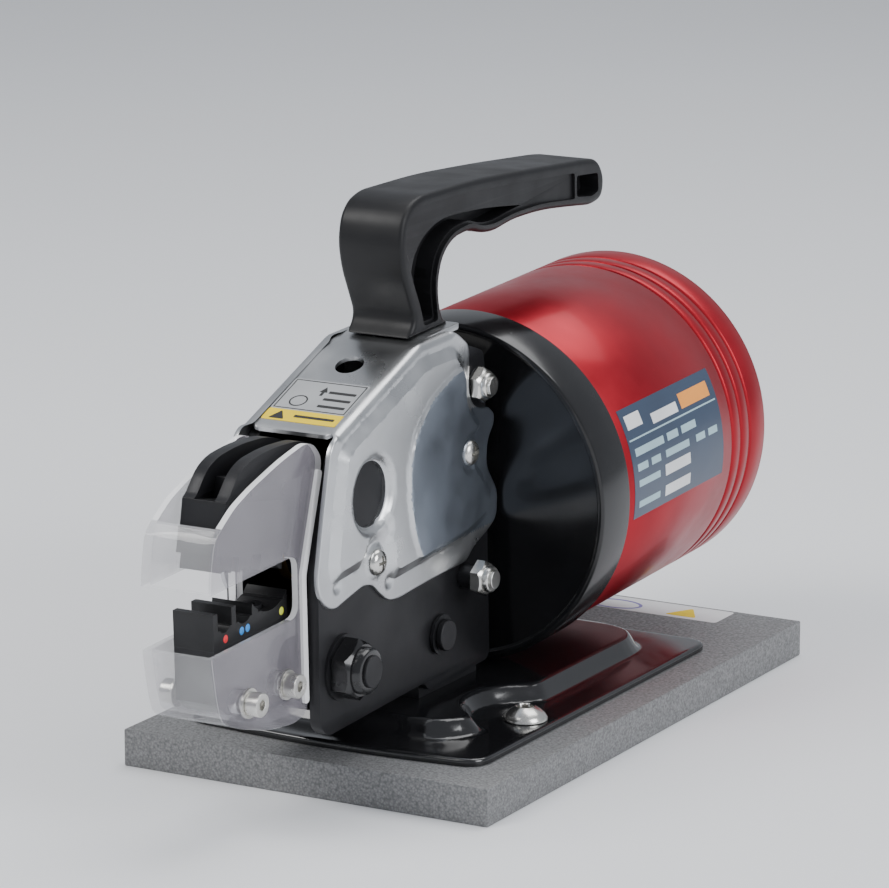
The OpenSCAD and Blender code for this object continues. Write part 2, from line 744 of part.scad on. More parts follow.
// Outline of a side cover's rim, seen from the right
module cover_outline() {
  polygon([
    [ref_y - 19.2, 42], [ref_y - 21.4, 39.5], [ref_y - 26.6, 20.1], [ref_y - 30.6, 2.6],
    [ref_y - 29.8, -2.5], [ref_y - 26, -7.6], [ref_y - 21, -9.6], [ref_y - 16, -8.6],
    [ref_y + 1.5, -7.8], [ref_y + 7, -12.6], [ref_y + 11.3, -15.5], [ref_y + 16.9, -16.2],
    [-43.4, -15.6], [-20, -15.6], [-15.7, -12.3], [-5.1, -8.6], [0, -5.9], [0.8, 2.6],
    [-6.2, 12.5], [-5.2, 20.5], [-0.8, 25], [-0.6, 28.2], [-4, 31], [-9.5, 31.8], [-14.6, 34.4],
    [-16.8, 39.5], [-16.2, 46], [-15.8, 53.7], [-22.8, 58.7], [-26.5, 60.4], [-46, 60.4], [ref_y - 15.6, 43.6]
  ]);
}
// Outline of the raised pan inside the rim
module pan_outline() {
  polygon([
    [ref_y - 17.5, 38.5], [ref_y - 20.8, 22], [ref_y - 24.5, 4], [ref_y - 21, -0.6],
    [ref_y - 5, -0.4], [ref_y + 9, -8.4], [ref_y + 14, -9], [-22, -7.6], [-7, -3.5], [-4, 2], [-9.5, 11], [-9, 21.5], [-6, 26.5], [-13.5, 30.5],
    [-18.6, 36], [-18.6, 49], [-27, 55.5], [-46, 56.4], [ref_y - 12, 41.5]
  ]);
}
// Height of the floor of the dimples under the cover screws, above the rim
dimple_h = 0.6;
module side_cover() {
  rim_x = plate_x + 0.05;
  hole_at = [ref_y + 0.3, 21.3];
  dimple_r = 5.2;
  color("#b9bbbd") difference() {
    union() {
      slice(rim_x, cover_t) cover_outline();
      slice(rim_x + cover_t - 0.01, pan_h) pan_outline();
      slice(top_w / 2 + 0.1, rim_x - top_w / 2) difference() {
        cover_outline();
        translate([0.5, -cover_t - 0.4]) cover_outline();
        translate([-200, -100]) square([400, 100 + 44.4]);
        translate([-20, 0]) square([40, 100]);
      }
    }
    slice(rim_x - 1, 1 + pan_h) offset(delta = -cover_t) pan_outline();
    bar_x(hole_at, sight_d / 2, 0, 40);
    for (at = cover_screws_at) bar_x(at, dimple_r - 0.5, 0, 40);
  }
  color("#b9bbbd") for (at = cover_screws_at) difference() {
    bar_x(at, dimple_r, rim_x, rim_x + cover_t + pan_h - 0.2);
    bar_x(at, dimple_r - 0.8, rim_x + cover_t + dimple_h, 40);
    bar_x(at, 1.5 + slip, 0, 40);
  }
}
module side_cover_right() {
  tool() side_cover();
}
module side_cover_left() {
  tool() mirror([1, 0, 0]) side_cover();
}
module cover_screws() {
  seat = plate_x + 0.05 + cover_t + dimple_h;
  color("silver") tool() both_sides() for (at = cover_screws_at) {
    out_x(at, seat) cross_head(4.2, 2.4);
    bar_x(at, 1.5, plate_x - plate_t + 0.5, seat + 0.2);
  }
}
module top_cover() {
  hole_y = -60.2;
  color("#b9bbbd") tool() difference() {
    slice(-top_w / 2, top_w) polygon([
      top_front, top_bend, top_bend + [2, 0.2], [-17, top_z], [-17, top_z - cover_t],
      top_bend + [2.3, -cover_t + 0.2], top_front + [0.5, -cover_t]
    ]);
    translate([0, hole_y, 40]) cylinder(r = 4.5, h = 30);
    for (y = handle_screws_at) translate([0, y, 50]) cylinder(r = handle_screw_r + slip, h = 20);
  }
}
module handle_block() {
  low = 46;
  color("#606266") tool() difference() {
    slice(-half_gap + fit, plate_gap - 2 * fit) translate([-43, low])
      square([24, top_z - cover_t - low]);
    for (y = handle_screws_at) translate([0, y, low - 1]) cylinder(r = handle_screw_r + slip, h = 20);
    for (y = handle_screws_at) bar_x([y, 53], 2 + fit, -20, -4);
    for (y = handle_screws_at) bar_x([y, 53], 2 + fit, 4, 20);
  }
}
module handle_screws() {
  color("dimgray") tool() for (y = handle_screws_at) {
    translate([0, y, 46]) mirror([0, 0, 1]) socket_head(3.5, 4, 3);
    translate([0, y, 46 - 0.1]) cylinder(r = handle_screw_r, h = 24);
    both_sides() bar_x([y, 53], 2, 4.1, half_gap + 2);
  }
}

// Handle
// Hook seen from the side: front and top edge, tip, then the finger edge back to the foot
module handle_outline() {
  polygon(concat(
    [[-43.5, top_z], [-38, top_z], [-38.4, 65], [-41.5, 73], [-45.4, 82]],
    arc([-34.5, 91.5], 12, 195, 92, 6),
    [[0, 102], [38, 98.4], [70, 94.9]],
    arc([82.5, 86], 7, 70, -90, 6),
    [[64, 82.3], [44, 84.9], [25, 85.8], [12, 84.4], [4, 85.6], [-2.6, 87.8]],
    arc([-13, 76.5], 11.2, 92, 180, 6),
    [[-24.2, 67.5], [-21.5, 62], [-17.5, top_z]]
  ));
}
module handle() {
  color("#252628") tool() difference() {
    slice(-handle_w / 2, handle_w) handle_outline();
    both_sides() slice(handle_w / 2 - handle_recess, handle_recess + 1) polygon(concat(
      [[-33, 70], [-35.5, 80]], arc([-29, 90], 8, 180, 95, 4),
      [[0, 97.6], [38, 94.2], [70, 90.8]], [[68, 87], [44, 89.2], [25, 90], [4, 90.2], [-6, 91.5]],
      arc([-13, 77], 15, 100, 180, 4)
    ));
    for (y = handle_screws_at) translate([0, y, top_z - 1]) cylinder(r = handle_screw_r + fit, h = 12);
  }
}

// Guard
slot_low = die_seat + 0.9;
slot_high = 10.5;
module guard() {
  nose = ref_y - 82.4;
  color("#dfe3ea", 0.5) tool() difference() {
    union() {
      slice(-guard_w / 2, guard_w) polygon([
        [nose, slot_low], [nose + 0.6, slot_high], [nose + 1.4, 18.5], [nose + 3.6, 26.5], [nose + 10, 30.4],
        [nose + 15, 33.4], [nose + 24.7, 36.8], [nose + 42, 41.1], [ref_y - 27, 43.2], [ref_y - 22, 41.6],
        [ref_y - 18.2, 37], [ref_y - 18.6, 33], [ref_y - 29.4, 3], [ref_y - 29.4, -37],
        [ref_y - 31, -40], [ref_y - 37, -41.2],
        [ref_y - 52, -39.2], [ref_y - 68.5, -33.8], [nose + 4.6, -29.6], [nose + 2.2, -22.5]
      ]);
      both_sides() slice(guard_w / 2 - 0.1, 1.1) polygon([
        [ref_y - 32.6, -36.5], [ref_y - 29.4, -36.5], [ref_y - 29.4, 3],
        [ref_y - 18.6, 33], [ref_y - 21.6, 34.2], [ref_y - 32.6, 4]
      ]);
    }
    slice(-guard_w / 2 + guard_t, guard_w - 2 * guard_t) polygon([
      [nose + guard_t, slot_low], [nose + guard_t + 0.6, slot_high], [nose + guard_t + 1.4, 18.5],
      [nose + guard_t + 3.2, 25.5], [nose + guard_t + 5, 28], [nose + 20, 60], [ref_y, 60], [ref_y, -37.4],
      [ref_y - 33, -38.6], [ref_y - 37, -39.2], [ref_y - 51.7, -37.2], [ref_y - 67.8, -32], [nose + 6, -28.3],
      [nose + guard_t + 2.2, -22.5]
    ]);
    slice(-guard_w, 2 * guard_w) polygon(concat(
      [[nose - 10, slot_low]], arc([ref_y - 38, slot_low + 4.5], 4.5, 270, 360, 4),
      arc([ref_y - 38, slot_high - 4.5], 4.5, 0, 90, 4), [[nose - 10, slot_high]]
    ));
    for (at = guard_screws_at) bar_x(at, 2.2, -20, 20);
  }
}
module guard_spacers() {
  color("#c8cacd") tool() both_sides() for (at = guard_screws_at) difference() {
    bar_x(at, 3.6, die_w / 2, guard_w / 2 - guard_t);
    bar_x(at, 2 + fit, 0, 20);
  }
}
module guard_washers() {
  color("#c8cacd") tool() both_sides() for (at = guard_screws_at) difference() {
    bar_x(at, 4.6, guard_w / 2, guard_w / 2 + 0.8);
    bar_x(at, 2 + fit, 0, 20);
  }
}
module guard_screws() {
  color("silver") tool() both_sides() for (at = guard_screws_at) {
    out_x(at, guard_w / 2 + 0.8) socket_head(3.7, 4.2, 3);
    bar_x(at, 2, 1, guard_w / 2 + 0.9);
  }
}

bench_slab();
base_plate();
base_pads();
base_screws();
mount_block();
mount_screws();
block_dowels();
side_plate_right();
side_plate_left();
frame_bolt();
frame_nut();
frame_washers();
rear_pin();
rear_pin_clips();
cap_studs();
stud_nuts();
stud_spacers();
front_cap();
front_cap_seal();
rod_bush();
rod_seal();
cylinder_tube();
rear_cap();
rear_cap_seal();
retaining_ring();
return_spring();
air_fitting();
fitting_collet();
lower_jaw();
lower_die();
lower_die_screw();
jaw_pivot_pin();
pivot_washers();
handle_block();
handle_screws();
handle();
top_cover();
side_cover_right();
side_cover_left();
cover_screws();
guard();
guard_spacers();
guard_screws();
guard_washers();
piston();
piston_seal();
wear_ring();
piston_rod();
piston_nut();
cam_blade();
blade_pins();
jaw_plate_right();
jaw_plate_left();
die_holder();
holder_rivets();
upper_die();
upper_die_screw();
roller_pin();
cam_roller();
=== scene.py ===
import json
import math

import bmesh
import bpy
import numpy as np
from mathutils import Matrix, Vector
from mathutils.geometry import delaunay_2d_cdt, tessellate_polygon

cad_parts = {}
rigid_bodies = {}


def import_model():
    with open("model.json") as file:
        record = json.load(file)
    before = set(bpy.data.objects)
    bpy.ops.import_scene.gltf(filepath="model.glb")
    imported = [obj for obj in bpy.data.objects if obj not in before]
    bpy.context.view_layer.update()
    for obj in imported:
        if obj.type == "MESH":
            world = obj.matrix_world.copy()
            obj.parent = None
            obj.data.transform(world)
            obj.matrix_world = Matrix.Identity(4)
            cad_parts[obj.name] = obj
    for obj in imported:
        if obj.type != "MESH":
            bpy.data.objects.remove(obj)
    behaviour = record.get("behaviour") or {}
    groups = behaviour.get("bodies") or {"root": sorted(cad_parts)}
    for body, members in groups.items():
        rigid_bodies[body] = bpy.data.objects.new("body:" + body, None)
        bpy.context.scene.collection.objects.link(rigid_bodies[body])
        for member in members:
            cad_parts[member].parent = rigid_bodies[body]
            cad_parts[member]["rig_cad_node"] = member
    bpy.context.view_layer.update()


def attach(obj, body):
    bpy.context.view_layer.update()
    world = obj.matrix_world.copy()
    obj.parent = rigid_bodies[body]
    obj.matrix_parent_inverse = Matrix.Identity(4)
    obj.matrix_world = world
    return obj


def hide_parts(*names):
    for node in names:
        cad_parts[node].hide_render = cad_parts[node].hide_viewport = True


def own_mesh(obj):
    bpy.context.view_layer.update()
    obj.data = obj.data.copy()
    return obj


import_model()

# Lengths below are in millimetres. toolFrame leans with the head and the cylinder: its origin is
# on the cylinder axis at the front cap's face, and +Y runs along the axis to the rear.
placement = {"faceY": -18.0, "axisZ": 76.5, "lean": 2.0}
baseFrame = Matrix.Scale(0.001, 4)
toolFrame = (
    Matrix.Translation((0, placement["faceY"] / 1000, placement["axisZ"] / 1000))
    @ Matrix.Rotation(math.radians(placement["lean"]), 4, "X")
    @ baseFrame
)


# Shaders
class Wire:
    def __init__(self, look, socket):
        self.look = look
        self.socket = socket

    def combine(self, operation, first, second):
        kind = self.socket.type
        if kind == "RGBA":
            settings = {"data_type": "RGBA", "blend_type": operation}
            return self.look.node("ShaderNodeMix", settings, {0: 1.0, 6: first, 7: second}, 2)
        name = "ShaderNodeVectorMath" if kind == "VECTOR" else "ShaderNodeMath"
        return self.look.node(name, {"operation": operation}, {0: first, 1: second})

    def __add__(self, other):
        return self.combine("ADD", self, other)

    def __radd__(self, other):
        return self.combine("ADD", other, self)

    def __mul__(self, other):
        return self.combine("MULTIPLY", self, other)

    def __rmul__(self, other):
        return self.combine("MULTIPLY", other, self)


class Look:
    def __init__(self, name):
        self.material = bpy.data.materials.new(name)
        self.material.use_nodes = True
        self.tree = self.material.node_tree
        self.shader = self.tree.nodes["Principled BSDF"]
        self.place = self.node("ShaderNodeTexCoord", {}, {}, "Object")

    def node(self, kind, settings, sockets, out=0):
        node = self.tree.nodes.new(kind)
        for name, value in settings.items():
            setattr(node, name, value)
        for name, value in sockets.items():
            self.feed(node.inputs[name], value)
        return Wire(self, node.outputs[out])

    def feed(self, socket, value):
        if isinstance(value, Wire):
            self.tree.links.new(value.socket, socket)
        elif socket.type == "RGBA" and not hasattr(value, "__len__"):
            socket.default_value = (value, value, value, 1)
        elif socket.type == "RGBA":
            socket.default_value = (*value[:3], 1)
        elif socket.type == "VECTOR" and not hasattr(value, "__len__"):
            socket.default_value = (value, value, value)
        else:
            socket.default_value = value

    def set(self, **values):
        for name, value in values.items():
            self.feed(self.shader.inputs[name.replace("_", " ")], value)
        return self

    def noise(self, scale, detail=2.0, stretch=(1, 1, 1), rough=0.5):
        sockets = {"Vector": self.place * stretch, "Scale": scale, "Detail": detail,
                   "Roughness": rough}
        return self.node("ShaderNodeTexNoise", {}, sockets, "Fac")

    def cells(self, scale):
        sockets = {"Vector": self.place, "Scale": scale}
        return self.node("ShaderNodeTexVoronoi", {"feature": "F1"}, sockets, "Distance")

    def ramp(self, value, low, high, toLow=0.0, toHigh=1.0):
        sockets = {0: value, 1: low, 2: high, 3: toLow, 4: toHigh}
        return self.node("ShaderNodeMapRange", {"clamp": True}, sockets)

    def mix(self, share, first, second):
        return self.node("ShaderNodeMix", {"data_type": "RGBA"}, {0: share, 6: first, 7: second}, 2)

    def bump(self, height, distance, strength=1.0):
        sockets = {"Height": height, "Distance": distance, "Strength": strength}
        return self.node("ShaderNodeBump", {}, sockets, "Normal")


def tinted(look, color, amount, scale):
    dark = tuple(c * (1 - amount) for c in color)
    light = tuple(min(1.0, c * (1 + amount)) for c in color)
    return look.mix(look.ramp(look.noise(scale, 3), 0.3, 0.7), dark, light)


# Each finish gives what differs from plainFinish: wander is how much the roughness changes over
# the surface, grain is the height of the fine bumps in millimetres, stretch their direction
plainFinish = {"metallic": 0.0, "wander": 0.05, "grain": 0.001, "stretch": (1, 1, 1), "scale": 900,
               "coat": 0.0}
finishes = {
    "blackSheet": {"color": (0.008, 0.008, 0.009), "rough": 0.13, "wander": 0.1, "grain": 0.0012,
                   "coat": 0.5},
    "blackSteel": {"color": (0.013, 0.013, 0.015), "metallic": 0.35, "rough": 0.4, "wander": 0.12,
                   "grain": 0.004, "scale": 1400},
    "blackCap": {"color": (0.008, 0.008, 0.009), "metallic": 0.2, "rough": 0.2, "wander": 0.08,
                 "grain": 0.0015, "stretch": (0.03, 1, 0.03), "scale": 2600, "coat": 0.35},
    "redTube": {"color": (0.36, 0.007, 0.018), "metallic": 0.72, "rough": 0.36, "wander": 0.08,
                "grain": 0.0022, "stretch": (0.02, 1, 0.02), "scale": 3200, "coat": 0.12},
    "silverSheet": {"color": (0.58, 0.59, 0.6), "metallic": 1.0, "rough": 0.3, "wander": 0.12,
                    "grain": 0.0016, "stretch": (1, 0.05, 1), "scale": 2400},
    # The side covers' silver with a darker bluish reflection painted in, for the area inside the
    # arc
    "silverShade": {"color": (0.33, 0.37, 0.43), "metallic": 1.0, "rough": 0.36, "wander": 0.1,
                    "grain": 0.0016, "stretch": (1, 0.05, 1), "scale": 2400},
    "zinc": {"color": (0.66, 0.65, 0.62), "metallic": 1.0, "rough": 0.24, "wander": 0.12,
             "grain": 0.002, "scale": 1500},
    "steel": {"color": (0.46, 0.46, 0.47), "metallic": 1.0, "rough": 0.28, "wander": 0.1,
              "grain": 0.002, "stretch": (1, 0.05, 1), "scale": 2200},
    "aluminium": {"color": (0.68, 0.68, 0.7), "metallic": 1.0, "rough": 0.3, "wander": 0.1,
                  "grain": 0.002, "scale": 1600},
    "bronze": {"color": (0.55, 0.37, 0.14), "metallic": 1.0, "rough": 0.34, "wander": 0.1,
               "grain": 0.002, "scale": 1500},
    "rubber": {"color": (0.012, 0.012, 0.012), "rough": 0.6, "wander": 0.1, "grain": 0.004,
               "scale": 1200},
    "guideRing": {"color": (0.72, 0.68, 0.58), "rough": 0.5, "wander": 0.1, "grain": 0.003,
                  "scale": 1200},
    "handleBlack": {"color": (0.007, 0.007, 0.008), "rough": 0.42, "wander": 0.12, "grain": 0.006,
                    "scale": 1700, "specular": 0.32},
    "dieBlack": {"color": (0.012, 0.012, 0.013), "metallic": 0.25, "rough": 0.42, "wander": 0.12,
                 "grain": 0.003, "stretch": (1, 0.08, 1), "scale": 2200},
    "bluePlastic": {"color": (0.03, 0.13, 0.42), "rough": 0.4, "wander": 0.1, "grain": 0.003,
                    "scale": 1200},
    "slateLabel": {"color": (0.03, 0.05, 0.09), "rough": 0.32, "wander": 0.06, "coat": 0.2},
    "cyanInk": {"color": (0.35, 0.5, 0.56), "rough": 0.4},
    "whiteInk": {"color": (0.72, 0.73, 0.74), "rough": 0.42, "wander": 0.06},
    "orangeInk": {"color": (0.8, 0.3, 0.05), "rough": 0.4},
    "yellowInk": {"color": (0.8, 0.58, 0.0), "rough": 0.6},
    "blackInk": {"color": (0.02, 0.02, 0.02), "rough": 0.4},
    "silverLabel": {"color": (0.5, 0.51, 0.52), "metallic": 0.55, "rough": 0.4, "wander": 0.06},
    "violetInk": {"color": (0.17, 0.14, 0.42), "rough": 0.4},
    "redDot": {"color": (0.75, 0.02, 0.03), "rough": 0.35},
    "blueDot": {"color": (0.03, 0.28, 0.75), "rough": 0.35},
    "yellowDot": {"color": (0.68, 0.75, 0.06), "rough": 0.35},
}
# Finishes that hands and tools touch get scratches and dust
worn = {"names": ["blackSheet", "blackSteel", "redTube", "silverSheet", "handleBlack", "blackCap"],
        "scratch": 0.5, "dust": 0.35, "scratchRough": 0.12, "dustRough": 0.15}
looks = {}


def wandering(look, f, scale):
    return look.ramp(look.noise(scale, 4), 0.3, 0.75, f["rough"] - f["wander"] / 2,
                     f["rough"] + f["wander"])


for name, changes in finishes.items():
    f = {**plainFinish, **changes}
    if name in worn["names"]:
        look = Look(name + "Worn")
        streak = look.noise(300, 6, (1, 0.12, 1), 0.7) + look.noise(260, 6, (0.1, 1, 0.3), 0.7)
        scratch = look.ramp(streak, 1.27, 1.36)
        dust = look.ramp(look.noise(24, 8, (1, 1, 1), 0.75), 0.52, 0.78, 0.0, 0.5)
        lift = tuple(min(1.0, c * 1.5 + 0.02) for c in f["color"])
        dusty = look.mix(dust * worn["dust"], tinted(look, f["color"], 0.1, 40), lift)
        color = look.mix(scratch * worn["scratch"], dusty, lift)
        rough = wandering(look, f, 60) + scratch * worn["scratchRough"] + dust * worn["dustRough"]
    else:
        look = Look(name)
        color = tinted(look, f["color"], 0.09, 45)
        rough = wandering(look, f, 70)
    grain = look.noise(f["scale"], 2, f["stretch"])
    look.set(Base_Color=color, Metallic=f["metallic"], Roughness=rough, Coat_Weight=f["coat"])
    look.set(Coat_Roughness=0.12, Normal=look.bump(grain, f["grain"] / 1000))
    if "specular" in f:
        look.set(Specular_IOR_Level=f["specular"])
    looks[name] = look.material

slabPaint = {"dark": (0.1, 0.101, 0.103), "light": (0.235, 0.237, 0.24), "rough": 0.48,
             "bumpMm": 0.07}
look = Look("slabPaint")
fleck = look.ramp(look.cells(1300), 0.15, 0.75)
mottle = look.ramp(look.noise(900, 3), 0.35, 0.65)
color = look.mix(fleck * 0.65 + mottle * 0.35, slabPaint["light"], slabPaint["dark"])
height = look.cells(1300) * 0.6 + look.noise(1600, 3) * 0.5
look.set(Base_Color=color, Roughness=look.ramp(mottle, 0, 1, slabPaint["rough"] - 0.1,
                                               slabPaint["rough"] + 0.08))
look.set(Normal=look.bump(height, slabPaint["bumpMm"] / 1000, 0.8))
looks["slabPaint"] = look.material

# Clear plastic by part of the guard: colour, how much it covers, and roughness. It is one clear
# plastic: the front walls carry a white painted reflection, the sides a darker lilac-grey painted
# reflection, and the cut edges and rails a bright white painted highlight
clearPlastic = {
    "clearFront": {"color": (0.95, 0.95, 0.97), "cover": 0.13, "rough": 0.04},
    "clearSide": {"color": (0.34, 0.32, 0.36), "cover": 0.27, "rough": 0.05},
    "clearEdge": {"color": (0.95, 0.95, 0.96), "cover": 0.72, "rough": 0.06},
}
for name, c in clearPlastic.items():
    look = Look(name)
    smear = look.ramp(look.noise(38, 6, (1, 1, 1), 0.65), 0.45, 0.8, c["rough"], c["rough"] + 0.1)
    haze = look.ramp(look.noise(30, 5, (1, 1, 1), 0.6), 0.35, 0.75, c["cover"] - 0.06,
                     c["cover"] + 0.08)
    rim = look.node("ShaderNodeLayerWeight", {}, {"Blend": 0.25}, "Facing")
    look.set(Base_Color=c["color"], Roughness=smear, IOR=2.4, Alpha=haze + rim * 0.25)
    look.set(Normal=look.bump(look.noise(26, 3), 0.00006))
    # The edges also glow faintly: a painted highlight
    if name == "clearEdge":
        look.set(Emission_Color=c["color"], Emission_Strength=0.15)
    looks[name] = look.material
print("looks made")


# Shapes
def rounded(points, cut, steps=5):
    out = []
    count = len(points)
    for i, point in enumerate(points):
        here = Vector(point[:2])
        back = Vector(points[i - 1][:2]) - here
        ahead = Vector(points[(i + 1) % count][:2]) - here
        size = point[2] if len(point) > 2 else cut
        size = min(size, back.length * 0.49, ahead.length * 0.49)
        if size < 0.02:
            out.append(tuple(here))
            continue
        a = here + back.normalized() * size
        b = here + ahead.normalized() * size
        for k in range(steps + 1):
            t = k / steps
            out.append(tuple(a * (1 - t) ** 2 + here * 2 * t * (1 - t) + b * t * t))
    return out


def oval(center, wide, high, steps=48):
    turns = [2 * math.pi * k / steps for k in range(steps)]
    return [(center[0] + wide * math.cos(a), center[1] + high * math.sin(a)) for a in turns]


def circle(center, radius, steps=32):
    return oval(center, radius, radius, steps)


def rect(x0, y0, x1, y1):
    return [(x0, y0), (x1, y0), (x1, y1), (x0, y1)]


def placed(name, mesh, place=Matrix.Identity(4)):
    data = bpy.data.meshes.new(name)
    mesh.to_mesh(data)
    mesh.free()
    data.transform(place)
    piece = bpy.data.objects.new(name, data)
    bpy.context.scene.collection.objects.link(piece)
    return piece


def bevelled(piece, width, segments, angle):
    edge = piece.modifiers.new("edge", "BEVEL")
    edge.width = width / 1000
    edge.segments = segments
    edge.limit_method = "ANGLE"
    edge.angle_limit = math.radians(angle)
    bake(piece)


def smoothed(piece, sharp):
    piece.data.shade_smooth()
    piece.data.set_sharp_from_angle(angle=math.radians(sharp))


def finish(name, mesh, lookName, nodes=(), place=toolFrame, body="frame", bevel=0.0, segments=2,
           sharp=38):
    bmesh.ops.remove_doubles(mesh, verts=mesh.verts, dist=1e-5)
    bmesh.ops.recalc_face_normals(mesh, faces=mesh.faces)
    piece = placed(name, mesh, place)
    piece.data.materials.append(looks[lookName])
    if bevel:
        bevelled(piece, bevel, segments, sharp)
    smoothed(piece, sharp)
    if nodes:
        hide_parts(*nodes)
    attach(piece, body)
    return piece


def bake(piece):
    bpy.context.view_layer.update()
    graph = bpy.context.evaluated_depsgraph_get()
    baked = bpy.data.meshes.new_from_object(piece.evaluated_get(graph))
    piece.modifiers.clear()
    piece.data = baked


def sideways(y, z, x):
    return (x, y, z)


def upward(x, y, z):
    return (x, y, z)


def prism(loops, low, high, order=sideways):
    mesh = bmesh.new()
    flat = [p for loop in loops for p in loop]
    lower = [mesh.verts.new(order(*p, low)) for p in flat]
    upper = [mesh.verts.new(order(*p, high)) for p in flat]
    for tri in tessellate_polygon([[Vector((p[0], p[1], 0)) for p in loop] for loop in loops]):
        mesh.faces.new([upper[i] for i in tri])
        mesh.faces.new([lower[i] for i in reversed(tri)])
    start = 0
    for loop in loops:
        count = len(loop)
        for i in range(count):
            a, b = start + i, start + (i + 1) % count
            mesh.faces.new((lower[a], lower[b], upper[b], upper[a]))
        start += count
    return mesh


def lathe(profile, steps=144):
    mesh = bmesh.new()
    rings = []
    for k in range(steps):
        a = 2 * math.pi * k / steps
        points = profile(a) if callable(profile) else profile
        rings.append([mesh.verts.new((r * math.cos(a), y, r * math.sin(a))) for y, r in points])
    count = len(points)
    for k in range(steps):
        here, there = rings[k], rings[(k + 1) % steps]
        for i in range(count):
            j = (i + 1) % count
            if points[i][1] < 1e-6 and points[j][1] < 1e-6:
                continue
            mesh.faces.new((here[i], here[j], there[j], there[i]))
    bmesh.ops.remove_doubles(mesh, verts=mesh.verts, dist=1e-5)
    return mesh


def carve(piece, mesh, operation="DIFFERENCE"):
    bmesh.ops.recalc_face_normals(mesh, faces=mesh.faces)
    cutter = placed("cutter", mesh, toolFrame)
    cut = piece.modifiers.new("cut", "BOOLEAN")
    cut.operation = operation
    cut.solver = "EXACT"
    cut.object = cutter
    bake(piece)
    bpy.data.objects.remove(cutter)


def spun(profile, at, steps=48, to="X"):
    # A lathed shape whose axis leaves at along +X or along +Z
    turn = Matrix.Rotation(math.radians(-90), 4,
                           "Z") if to == "X" else Matrix.Rotation(math.radians(90), 4, "X")
    mesh = lathe(profile, steps)
    bmesh.ops.transform(mesh, matrix=Matrix.Translation(at) @ turn, verts=mesh.verts)
    return mesh


def hexReach(flats, a):
    # How far a hexagon reaches at angle a, with a flat at angle 0
    return flats / 2 / math.cos((a + math.pi / 6) % (math.pi / 3) - math.pi / 6)


def joined(parts):
    mesh = bmesh.new()
    for part in parts:
        data = bpy.data.meshes.new("part")
        part.to_mesh(data)
        part.free()
        mesh.from_mesh(data)
        bpy.data.meshes.remove(data)
    return mesh


def resampled(loop, step):
    out = []
    for i, here in enumerate(loop):
        a, b = Vector(here), Vector(loop[(i + 1) % len(loop)])
        count = max(1, round((b - a).length / step))
        out += [tuple(a.lerp(b, k / count)) for k in range(count)]
    return out


def depth(points, loop):
    # Signed distance of points into a loop, positive inside
    points = np.asarray(points, float)
    a = np.asarray(loop, float)
    b = np.roll(a, -1, axis=0)
    best = np.full(len(points), 1e9)
    inside = np.zeros(len(points), bool)
    for (ax, ay), (bx, by) in zip(a, b):
        dx, dy = bx - ax, by - ay
        along = (points[:, 0] - ax) * dx + (points[:, 1] - ay) * dy
        t = np.clip(along / (dx * dx + dy * dy + 1e-12), 0, 1)
        best = np.minimum(best, np.hypot(points[:, 0] - ax - t * dx, points[:, 1] - ay - t * dy))
        if ay != by:
            crosses = (ay > points[:, 1]) != (by > points[:, 1])
            inside ^= crosses & (points[:, 0] < (bx - ax) * (points[:, 1] - ay) / (by - ay) + ax)
    return np.where(inside, best, -best)


def distance(points, at):
    return np.hypot(points[:, 0] - at[0], points[:, 1] - at[1])


def ramped(inset, rows):
    return np.clip((inset - rows[0]) / (rows[-1] - rows[0]), 0, 1)


def smooth(value, low, high):
    t = np.clip((value - low) / (high - low), 0, 1)
    return t * t * (3 - 2 * t)


def capsule(points, a, b, radius):
    points = np.asarray(points, float)
    a, b = np.array(a, float), np.array(b, float)
    d = b - a
    t = np.clip(((points - a) @ d) / max(d @ d, 1e-9), 0, 1)
    return radius - np.hypot(*(points - a - t[:, None] * d).T)


def offsets(loop, distances, step):
    ring = resampled(loop, step)
    found = []
    for i, p in enumerate(ring):
        a, b = Vector(ring[i - 1]), Vector(ring[(i + 1) % len(ring)])
        d = (b - a).normalized()
        found += [(p[0] - d.y * inset, p[1] + d.x * inset) for inset in distances]
    return found


def skin(loop, holes, step, features, edges):
    # Triangles over a loop: rows of points follow its edge and each feature line
    outer = resampled(loop, step)
    cuts = [resampled(h, step) for h in holes]
    xs, ys = [p[0] for p in outer], [p[1] for p in outer]
    rows = int((max(ys) - min(ys)) / (step * 0.87)) + 1
    columns = int((max(xs) - min(xs)) / step) + 1
    loose = [(min(xs) + (i + 0.5 * (j % 2)) * step, min(ys) + j * step * 0.87)
             for j in range(rows) for i in range(columns)]
    rims = []
    for edge in [outer, *cuts]:
        for inset in edges:
            row = offsets(edge, [inset, -inset], step)
            near = np.minimum.reduce([np.abs(depth(row, e)) for e in [outer, *cuts]])
            rims += [p for p, d in zip(row, near) if d > inset * 0.97]
    lines = [p for line, distances in features for p in offsets(line, distances, step)]
    # A point is left out where another one is already within a share of the step
    taken = {0.25: set(), 0.62: set()}
    kept = []
    margin = max([*edges, 0.1]) + step * 0.3
    for group, clear, share in ((rims, 0.02, 0), (lines, margin, 0.25), (loose, margin, 0.62)):
        room = np.array(group, float).reshape(-1, 2)
        inside = depth(room, outer)
        for cut in cuts:
            inside = np.minimum(inside, -depth(room, cut))
        for p, d in zip(group, inside):
            cells = {s: (round(p[0] / (step * s)), round(p[1] / (step * s))) for s in taken}
            if d > clear and not (share and cells[share] in taken[share]):
                for s, cell in cells.items():
                    taken[s].add(cell)
                kept.append(p)
    points = [*outer, *(p for cut in cuts for p in cut), *kept]
    bonds, start = [], 0
    for ring in [outer, *cuts]:
        bonds += [(start + i, start + (i + 1) % len(ring)) for i in range(len(ring))]
        start += len(ring)
    verts, _, faces, *_ = delaunay_2d_cdt([Vector(p) for p in points], bonds, [], 0, 1e-5)
    flat = np.array([(v.x, v.y) for v in verts])
    middle = np.array([flat[list(f)].mean(axis=0) for f in faces])
    inside = depth(middle, outer)
    for cut in cuts:
        inside = np.minimum(inside, -depth(middle, cut))
    return flat, [tuple(f) for f, d in zip(faces, inside) if d > 0]


